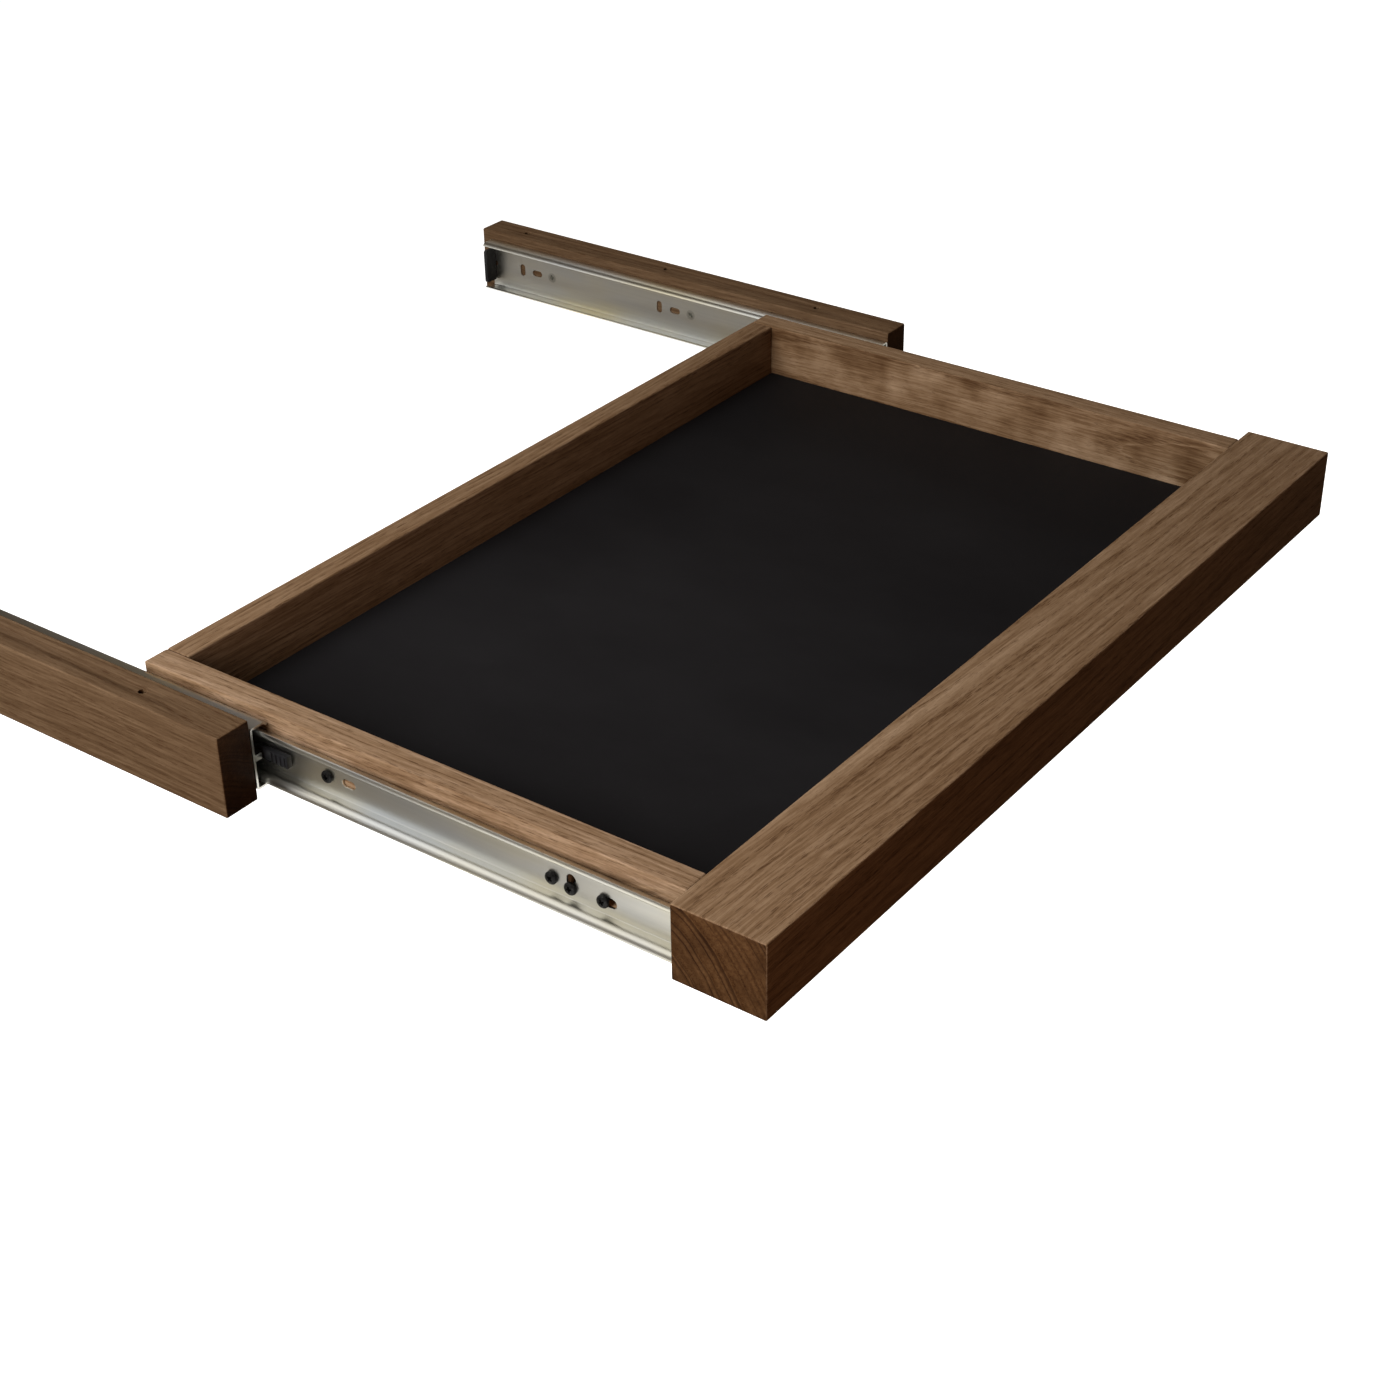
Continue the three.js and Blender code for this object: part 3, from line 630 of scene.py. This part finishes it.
def slot_pockets(hand):
    """Pockets sunk in a drawer side behind the two adjusting slots of its slide."""
    pockets = []
    for part in ("front", "middle"):
        y, z, length, height = SLIDE_HOLES[part]
        pocket = slot_tool(y, z, length, height, SLIDE_SPACE - 0.5 * MM, SLIDE_SPACE + POCKET_DEPTH)
        pockets.append(moved(pocket, on_slide(hand)))
    return pockets


def build_wood():
    bar = oak("oak_front_bar", "X", PITH_BAR, tilt=2.4, ring=5.2)
    refined("front_bar", "stained_oak", bar)
    for hand in HANDS:
        low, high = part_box(f"side_{hand}")
        middle = (low.x + high.x) / 2
        lean = -1 if hand == "left" else 1
        # the left-hand side takes the paler tones, painted light for the brighter light that falls on the
        # near side
        tones = LEFT_SIDE_PAINTED_LIGHT_TONES if hand == "left" else OAK_TONES
        side = oak(
            f"oak_side_{hand}", "Y", (middle + lean * 55 * MM, 0, high.z - 20 * MM), tones,
            tilt=0.6 * lean, ring=3.4, flake=2.4 if hand == "right" else 1.2)
        refined(f"side_{hand}", "stained_oak", side, punches=slot_pockets(hand))
        bearer = oak(
            f"oak_bearer_{hand}", "Y", (lean * 0.36, 0, -0.11), BEARER_TONES, tilt=-0.8 * lean, ring=4.2)
        refined(f"bearer_{hand}", "bearer_oak", bearer, 0.35 * MM)
    rail = oak("oak_back_rail", "X", (0, 0.2, -0.09), tilt=-0.7, ring=3.8)
    refined("back_rail", "stained_oak", rail)
    refined("bottom_panel", "stained_plywood", plywood("stained_ply"), 0.2 * MM)
    refined("floor_liner", "black_linoleum", linoleum("furniture_linoleum"), 0.4 * MM)


def fluted_dowel(node, material):
    """A dowel pin with chamfered ends and flutes that let the glue out."""
    low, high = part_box(node)
    size = high - low
    axis = max(range(3), key=lambda k: size[k])
    length = size[axis]
    radius = size[(axis + 1) % 3] / 2
    flutes, steps = 14, 56
    chamfer = 1.2 * MM
    bm = bmesh.new()
    rings = []
    stations = ((0, 0.78), (chamfer, 1.0), (length - chamfer, 1.0), (length, 0.78))
    for along, share in stations:
        ring = []
        for k in range(steps):
            a = 2 * math.pi * k / steps
            depth = 0.045 * (1 + math.cos(flutes * a))
            r = radius * (share - (depth if share == 1.0 else 0))
            ring.append(bm.verts.new((along - length / 2, r * math.cos(a), r * math.sin(a))))
        rings.append(ring)
    for one, two in zip(rings, rings[1:]):
        for k in range(steps):
            m = (k + 1) % steps
            bm.faces.new((one[k], one[m], two[m], two[k]))
    bm.faces.new(rings[0])
    bm.faces.new(rings[-1])
    mesh = to_mesh(bm, node)
    turn = Matrix.Rotation(math.pi / 2, 4, "Z") if axis == 1 else Matrix.Identity(4)
    mesh.transform(Matrix.Translation((low + high) / 2) @ turn)
    new_piece(node + "_fluted", mesh, body_of(node), "beech_dowel", material, [node])


def build_dowels():
    material = beech("beech_pin")
    for node in sorted(frame["nodes"]):
        if "_dowel_" in node:
            fluted_dowel(node, material)


# ------------------------------------------------------------------ slides

def cabinet_section():
    web, flange = SHEET / 2, BALL_HEIGHT + GROOVE
    path = arc((BALL_DEPTH, BALL_HEIGHT), GROOVE, 25, 90, 12)
    path += arc((web + BEND, flange - BEND), BEND, 90, 180, 6)
    path += arc((web + BEND, BEND - flange), BEND, 180, 270, 6)
    path += arc((BALL_DEPTH, -BALL_HEIGHT), GROOVE, 270, 335, 12)
    return sheet_outline(path, SHEET)


def drawer_section():
    web, flange = SLIDE_SPACE - SHEET / 2, BALL_HEIGHT - GROOVE
    path = arc((BALL_DEPTH, BALL_HEIGHT), GROOVE, 160, 270, 18)
    path += arc((web - BEND, flange - BEND), BEND, 90, 0, 6)
    path += arc((web - BEND, BEND - flange), BEND, 0, -90, 6)
    path += arc((BALL_DEPTH, -BALL_HEIGHT), GROOVE, 90, 200, 18)
    return sheet_outline(path, SHEET)


def ease_rims(mesh, width=0.12 * MM):
    """Breaks the stamped edges of a sheet piece."""
    bm = bmesh.new()
    bm.from_mesh(mesh)
    round_edges(bm, width, 1, 40)
    return to_mesh(bm, mesh.name)


def drawer_member(hand, material):
    node = f"drawer_member_{hand}"
    low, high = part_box(node)
    inside, outside = SLIDE_SPACE - SHEET - 1 * MM, SLIDE_SPACE + 1 * MM
    punches = [slot_tool(*hole, inside, outside) for hole in SLIDE_HOLES.values()]
    mesh = ease_rims(cut(prism(drawer_section(), low.y, high.y), punches))
    mesh.name = node
    new_piece(node + "_steel", moved(mesh, on_slide(hand)), "drawer", "zinc_steel", material, [node])


def cabinet_member(hand, material):
    node = f"cabinet_member_{hand}"
    low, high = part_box(node)
    inside, outside = -1 * MM, SHEET + 1 * MM
    back, face = -0.2 * MM, SHEET + 0.3 * MM
    neck = 1.9 * MM                 # half the hole of a countersunk screw
    tab_thickness, tab_reach, tab_half = 1.2 * MM, 6 * MM, 1.8 * MM
    punches = [box_tool(
        (inside, low.y + tab_thickness, -tab_half), (outside, low.y + tab_thickness + 5 * MM, tab_half))]
    for y in CABINET_SCREW_Y:
        punches.append(slot_tool(y + 14 * MM, 0, SLOT_LENGTH, SLOT_WIDTH, inside, outside))
        punches.append(slot_tool(y + 28 * MM, 0, SLOT_WIDTH, SLOT_LENGTH, inside, outside))
        punches.append(slot_tool(y, 0, 2 * neck, 2 * neck, inside, outside, 8))
        dimple = lathe(((back, 0), (back, neck), (face, 4.1 * MM), (face, 0)))
        punches.append(moved(dimple, Matrix.Translation((0, y, 0))))
    punches.append(slot_tool(high.y - 2 * MM, 0, SLOT_WIDTH, SLOT_WIDTH, inside, outside))
    channel = ease_rims(cut(prism(cabinet_section(), low.y, high.y), punches))
    tab = box_tool((SHEET * 0.5, low.y, -tab_half), (tab_reach, low.y + tab_thickness, tab_half))
    bm = bmesh.new()
    bm.from_mesh(tab)
    round_edges(bm, 0.3 * MM, 3)
    mesh = joined([channel, to_mesh(bm, "tab")], node)
    new_piece(node + "_steel", moved(mesh, on_slide(hand)), "desk_mounting", "zinc_steel", material, [node])


CAGE_SHEET = 0.5 * MM
CAGE_EDGE = 9.2 * MM
CAGE_ARM = BALL_HEIGHT + 2.1 * MM


def ball_places(hand):
    low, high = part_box(f"ball_retainer_{hand}")
    first = (low.y + high.y - (BALLS_IN_ROW - 1) * BALL_PITCH) / 2
    return [first + k * BALL_PITCH for k in range(BALLS_IN_ROW)]


def ball_retainer(hand, material):
    node = f"ball_retainer_{hand}"
    low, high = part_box(node)
    web, bend = SHEET + 0.3 * MM + CAGE_SHEET / 2, 0.8 * MM
    path = [(Vector((CAGE_EDGE, CAGE_ARM)), Vector((0, -1)))]
    path += arc((web + bend, CAGE_ARM - bend), bend, 90, 180, 6)
    path += arc((web + bend, bend - CAGE_ARM), bend, 180, 270, 6)
    path += [(Vector((CAGE_EDGE, -CAGE_ARM)), Vector((0, 1)))]
    middle = (low.y + high.y) / 2
    punches = [slot_tool(middle, 0, high.y - low.y - 18 * MM, 18 * MM, web - 2 * MM, web + 2 * MM)]
    for y in ball_places(hand):
        for side in (-1, 1):
            pin = lathe(((-1 * MM, 0), (-1 * MM, 1.65 * MM), (1 * MM, 1.65 * MM), (1 * MM, 0)), 24)
            upright = Matrix.Rotation(math.pi / 2, 4, "Y")
            punches.append(moved(pin, Matrix.Translation((BALL_DEPTH, y, side * CAGE_ARM)) @ upright))
    mesh = cut(prism(sheet_outline(path, CAGE_SHEET), low.y, high.y), punches)
    mesh = ease_rims(mesh, 0.06 * MM)
    mesh.name = node
    body = f"retainer_{hand}"
    new_piece(node + "_cage", moved(mesh, on_slide(hand)), body, "cage_steel", material, [node])


def bearing_balls(hand, material):
    bm = bmesh.new()
    for y in ball_places(hand):
        for side in (-1, 1):
            place = Matrix.Translation((BALL_DEPTH, y, side * BALL_HEIGHT))
            bmesh.ops.create_icosphere(bm, subdivisions=3, radius=BALL_RADIUS, matrix=place)
    mesh = to_mesh(bm, f"bearing_balls_{hand}")
    moved(mesh, on_slide(hand))
    new_piece(f"bearing_balls_{hand}", mesh, f"retainer_{hand}", "cage_steel", material, sharp=180)


# ------------------------------------------------------------------ fasteners

POINT_LENGTH = 3.5 * MM


def thread(radius, length, taper, pitch=1.5 * MM, depth=0.42 * MM, segments=24):
    """A screw shank along -X from 0 with a helical thread and a gimlet point."""
    per_turn = 6
    rings = int(length / pitch * per_turn)
    bm = bmesh.new()
    grid = []
    for i in range(rings + 1):
        along = length * i / rings
        core = (radius - depth) * min(1.0, max(0.12, (length - along) / taper))
        ring = []
        for k in range(segments):
            a = 2 * math.pi * k / segments
            phase = (along / pitch - k / segments) % 1.0
            crest = max(0.0, 1 - abs(phase - 0.5) * 3.2)
            fade = min(1.0, max(0.0, (length - along) / taper))
            r = core + depth * crest * fade
            ring.append(bm.verts.new((-along, r * math.cos(a), r * math.sin(a))))
        grid.append(ring)
    tip = bm.verts.new((-length - 0.2 * MM, 0, 0))
    for one, two in zip(grid, grid[1:]):
        for k in range(segments):
            m = (k + 1) % segments
            bm.faces.new((one[k], one[m], two[m], two[k]))
    for k in range(segments):
        bm.faces.new((grid[-1][k], grid[-1][(k + 1) % segments], tip))
    bm.faces.new(grid[0])
    return to_mesh(bm, "thread")


def cross_recess(top, width, depth):
    """A tapered cross-shaped punch that sinks from top along -X."""
    wings = []
    for quarter in (0, 1):
        bm = bmesh.new()
        for along, half, thick in ((top + 0.5 * MM, width / 2, 0.16 * width),
                                   (top - depth, width / 5, 0.09 * width)):
            for sy, sz in ((-1, -1), (1, -1), (1, 1), (-1, 1)):
                bm.verts.new((along, sy * half, sz * thick))
        bmesh.ops.convex_hull(bm, input=bm.verts)
        wing = to_mesh(bm, "wing")
        wings.append(moved(wing, Matrix.Rotation(quarter * math.pi / 2, 4, "X")))
    return wings


def pan_screw(radius, height, shank, length, clearance=0.3 * MM):
    """A pan-head screw that seats at 0 with its shank along -X."""
    profile = [(clearance, 0), (clearance, radius * 0.97), (clearance + 0.15 * MM, radius)]
    rim, crown, steps = 0.42 * height, 0.30 * radius, 8
    for k in range(steps + 1):
        a = math.pi / 2 * k / steps
        profile.append((
            clearance + rim + 0.5 * height * math.sin(a), radius - crown * (1 - math.cos(a))))
    profile.append((clearance + height, radius * 0.3))
    profile.append((clearance + height, 0))
    head = cut(lathe(profile, 40), cross_recess(clearance + height, radius * 1.15, height * 0.8))
    body = moved(thread(shank, length, POINT_LENGTH), Matrix.Translation((clearance, 0, 0)))
    return joined([head, body], "pan")


def countersunk_screw(radius, shank, length):
    """A countersunk screw whose head is flush at 0 with its shank along -X."""
    cone = radius - shank
    profile = (
        (-cone - 0.3 * MM, 0), (-cone - 0.3 * MM, shank), (-0.35 * MM, radius * 0.98),
        (-0.12 * MM, radius), (-0.02 * MM, radius * 0.97), (0, radius * 0.9), (0, 0))
    head = cut(lathe(profile, 40), cross_recess(0, radius * 1.15, cone * 0.9))
    body = thread(shank, length - cone, POINT_LENGTH)
    return joined([head, moved(body, Matrix.Translation((-cone, 0, 0)))], "countersunk")


# Radius of the head, its height on a pan head, radius of the shank and length under the head.
SLIDE_SCREW = (3.5 * MM, 2 * MM, 1.7 * MM, 12.5 * MM)
CABINET_SCREW = (3.8 * MM, 1.6 * MM, 13.6 * MM)
PANEL_SCREW = (3 * MM, 1.5 * MM, 13.6 * MM)
RIVET_CROWN, RIVET_RADIUS, RIVET_SHANK = 1.0 * MM, 3.2 * MM, 1.9 * MM


def build_screws():
    black = black_oxide("phosphated_steel")
    bright = zinc("plated_screw", 0.3, 0.6, (900, 900, 900), (196, 196, 190))
    spin = random.Random(7)
    inward = Matrix.Rotation(math.pi, 4, "Z")
    for hand in HANDS:
        for part, (y, z) in SCREW_PLACES.items():
            node = f"slide_screw_{part}_{hand}"
            mesh = pan_screw(*SLIDE_SCREW)
            twist = Matrix.Rotation(spin.uniform(0, math.pi / 2), 4, "X")
            place = Matrix.Translation((SLIDE_SPACE - SHEET, y, z)) @ inward @ twist
            moved(mesh, on_slide(hand) @ place)
            new_piece(node + "_pan", mesh, "drawer", "black_screw", black, [node])
        for number, y in enumerate(CABINET_SCREW_Y, 1):
            node = f"cabinet_screw_{number}_{hand}"
            mesh = countersunk_screw(*CABINET_SCREW)
            twist = Matrix.Rotation(spin.uniform(0, math.pi / 2), 4, "X")
            moved(mesh, on_slide(hand) @ Matrix.Translation((SHEET, y, 0)) @ twist)
            new_piece(node + "_head", mesh, "desk_mounting", "zinc_screw", bright, [node])
    downward = Matrix.Rotation(math.pi / 2, 4, "Y")
    for node in sorted(frame["nodes"]):
        if node.startswith("panel_screw_"):
            low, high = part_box(node)
            centre = (low + high) / 2
            mesh = countersunk_screw(*PANEL_SCREW)
            twist = Matrix.Rotation(spin.uniform(0, math.pi / 2), 4, "X")
            place = Matrix.Translation((centre.x, centre.y, low.z))
            moved(mesh, place @ downward @ twist)
            new_piece(node + "_head", mesh, "drawer", "zinc_screw", bright, [node])
    for hand in HANDS:
        node = f"lever_rivet_{hand}"
        low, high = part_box(node)
        reach = high.x - low.x
        start = low.x - SEAT_X if hand == "left" else -SEAT_X - high.x
        profile = [
            (start + RIVET_CROWN * (1 - math.cos(a)), RIVET_RADIUS * math.sin(a))
            for a in (math.pi / 2 * k / 8 for k in range(9))]
        profile += [(start + RIVET_CROWN, RIVET_SHANK), (start + reach, RIVET_SHANK), (start + reach, 0)]
        mesh = lathe(profile, 36)
        moved(mesh, on_slide(hand) @ Matrix.Translation((0, PIVOT_Y, 0)))
        new_piece(node + "_domed", mesh, "drawer", "zinc_screw", bright, [node])


def build_slides():
    steel = zinc("zinc_plated_sheet")
    cage = zinc("retainer_sheet", 0.3, 0.3, (700, 5, 700), (182, 184, 182))
    balls = ball_steel("bearing_steel")
    plastic = moulded("lever_moulding", (22, 22, 24), 10, 0.46, 2600)
    rubber = moulded("bumper_rubber", (28, 28, 29), 12, 0.78, 1500)
    for hand in HANDS:
        drawer_member(hand, steel)
        cabinet_member(hand, steel)
        ball_retainer(hand, cage)
        bearing_balls(hand, balls)
        refined(f"disconnect_lever_{hand}", "lever_plastic", plastic, 0.22 * MM)
        refined(f"rear_bumper_{hand}", "bumper_rubber", rubber, 0.4 * MM, 3)


# ------------------------------------------------------------------ stage, lights and camera

FLOOR_Z = -0.72                     # the underside of the desktop is this high above the floor
FLOOR_RADIUS = 40                   # wide enough that its rim is never seen


def build_stage():
    bm = bmesh.new()
    bmesh.ops.create_circle(bm, cap_ends=True, radius=FLOOR_RADIUS, segments=128)
    floor = bpy.data.objects.new("studio_floor", to_mesh(bm, "studio_floor"))
    floor.location = (0, 0, FLOOR_Z)
    bpy.context.scene.collection.objects.link(floor)
    material = bpy.data.materials.new("studio_floor")
    material.use_nodes = True
    tree = material.node_tree
    tree.nodes.clear()
    diffuse = tree.nodes.new("ShaderNodeBsdfDiffuse")
    diffuse.inputs["Color"].default_value = (0.9, 0.9, 0.9, 1)
    glow = tree.nodes.new("ShaderNodeEmission")
    glow.inputs["Color"].default_value = (1, 1, 1, 1)
    glow.inputs["Strength"].default_value = 0.95
    both = tree.nodes.new("ShaderNodeAddShader")
    output = tree.nodes.new("ShaderNodeOutputMaterial")
    tree.links.new(diffuse.outputs[0], both.inputs[0])
    tree.links.new(glow.outputs[0], both.inputs[1])
    tree.links.new(both.outputs[0], output.inputs[0])
    floor.data.materials.append(material)
    floor.visible_diffuse = False
    floor.visible_glossy = False

    world = bpy.data.worlds.new("studio")
    bpy.context.scene.world = world
    world.use_nodes = True
    tree = world.node_tree
    tree.nodes.clear()
    seen = tree.nodes.new("ShaderNodeBackground")
    seen.inputs["Color"].default_value = (1, 1, 1, 1)
    seen.inputs["Strength"].default_value = 1.0
    ambient = tree.nodes.new("ShaderNodeBackground")
    ambient.inputs["Color"].default_value = (1.0, 0.72, 0.5, 1)
    ambient.inputs["Strength"].default_value = 0.055
    path = tree.nodes.new("ShaderNodeLightPath")
    choose = tree.nodes.new("ShaderNodeMixShader")
    output = tree.nodes.new("ShaderNodeOutputWorld")
    tree.links.new(path.outputs["Is Camera Ray"], choose.inputs[0])
    tree.links.new(ambient.outputs[0], choose.inputs[1])
    tree.links.new(seen.outputs[0], choose.inputs[2])
    tree.links.new(choose.outputs[0], output.inputs[0])


def soft_light(name, place, target, size, power, colour=(1, 1, 1)):
    data = bpy.data.lights.new(name, "AREA")
    data.shape = "RECTANGLE"
    data.size, data.size_y = size
    data.energy = power
    data.color = colour
    light = bpy.data.objects.new(name, data)
    light.location = place
    light.rotation_euler = (Vector(target) - Vector(place)).to_track_quat("-Z", "Y").to_euler()
    light.visible_camera = False
    bpy.context.scene.collection.objects.link(light)
    return light


METAL_SLOTS = ("zinc_steel", "cage_steel", "zinc_screw", "black_screw")


def light_group(name, chosen):
    """A collection of the pieces that a light reaches."""
    group = bpy.data.collections.new(name)
    for piece in bpy.context.scene.objects:
        if piece.type == "MESH" and chosen(piece):
            group.objects.link(piece)
    return group


def build_lights():
    aim = (0, -0.05, -0.02)
    wood = light_group("not_metal", lambda piece: piece.get("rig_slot") not in METAL_SLOTS)
    metal = light_group("metal", lambda piece: piece.get("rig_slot") in METAL_SLOTS)

    # The wood and the liner: a soft key light from the left and weak fills. Only a fifth of the key
    # is seen as gloss, so that the wood stays matt at grazing angles.
    key_place = (-1.64, 0.22, 0.82)
    diffuse_lights = [
        soft_light("key", key_place, aim, (1.0, 1.0), 45),
        soft_light("top", (-0.35, 0.25, 1.6), aim, (1.5, 1.2), 10),
        soft_light("right_fill", (2.2, -0.05, 0.45), aim, (1.0, 0.8), 17, (1.0, 0.92, 0.84)),
        soft_light("back_fill", (0.1, 2.0, 0.6), aim, (1.6, 0.8), 12),
        soft_light("front_fill", (-1.0, -1.1, 0.25), aim, (0.9, 0.6), 2.2, (1.0, 0.42, 0.14)),
    ]
    for light in diffuse_lights:
        light.visible_glossy = False
    sheen = soft_light("key_sheen", key_place, aim, (1.0, 1.0), 9)
    for light in (sheen, *diffuse_lights):
        light.light_linking.receiver_collection = wood

    # The steel: large dim cards all round, so that it shines evenly. Each is a name, a place, the
    # point it faces, its size, its radiance and its colour.
    left, right = (SEAT_X, -0.1, SLIDE_Z), (-SEAT_X, -0.1, SLIDE_Z)
    plain = (1.0, 0.985, 0.94)
    warm = (1.0, 0.88, 0.70)
    for name, place, target, size, radiance, colour in (
            ("floor_left_front", (-1.2, -0.45, FLOOR_Z), (-1.2, -0.45, 0), (1.8, 1.8), 1.20, plain),
            ("floor_left_back", (-1.2, 1.1, FLOOR_Z), (-1.2, 1.1, 0), (1.8, 1.3), 0.10, warm),
            ("floor_under", (0.5, 0.2, FLOOR_Z), (0.5, 0.2, 0), (1.6, 2.8), 1.3, plain),
            ("wall_left", (-2.2, -1.2, 0.1), left, (2.0, 1.4), 0.95, plain),
            ("wall_back_left", (-1.5, 1.8, 0.1), left, (2.2, 1.4), 0.8, plain),
            ("sky_left", (-1.5, 0.7, 1.3), left, (2.0, 1.8), 1.2, plain),
            ("sky_right", (1.5, 0.3, 1.4), right, (2.0, 1.8), 1.1, plain),
            ("wall_right", (2.3, -0.1, 0.1), right, (2.2, 1.4), 0.85, plain),
            ("floor_right", (2.0, 0.4, FLOOR_Z), (2.0, 0.4, 0), (1.4, 2.4), 1.0, plain)):
        power = math.pi * size[0] * size[1] * radiance
        card = soft_light(name, place, target, size, power, colour)
        card.light_linking.receiver_collection = metal


CAMERA_PLACE = (-0.97451, -0.72902, 0.62776)
CAMERA_AZIMUTH = 53.392             # looks from the left-hand front corner, in degrees from +Y
CAMERA_DROP = 31.574                # looks down by this many degrees
CAMERA_ROLL = -0.8985
CAMERA_LENS = 60.787


def build_camera():
    azimuth, drop, roll = (math.radians(a) for a in (CAMERA_AZIMUTH, CAMERA_DROP, CAMERA_ROLL))
    ahead = Vector((
        math.sin(azimuth) * math.cos(drop), math.cos(azimuth) * math.cos(drop), -math.sin(drop)))
    level = Vector((math.cos(azimuth), -math.sin(azimuth), 0))
    right = level * math.cos(roll) + level.cross(ahead) * math.sin(roll)
    up = right.cross(ahead)
    data = bpy.data.cameras.new("camera")
    data.lens = CAMERA_LENS
    data.sensor_width = 36
    data.clip_start = 0.01
    camera = bpy.data.objects.new("camera", data)
    turn = Matrix((right, up, -ahead)).transposed().to_4x4()
    camera.matrix_world = Matrix.Translation(CAMERA_PLACE) @ turn
    bpy.context.scene.collection.objects.link(camera)
    bpy.context.scene.camera = camera


build_camera()
build_wood()
build_dowels()
build_slides()
build_screws()
build_stage()
build_lights()
bpy.context.scene.view_settings.view_transform = "Standard"
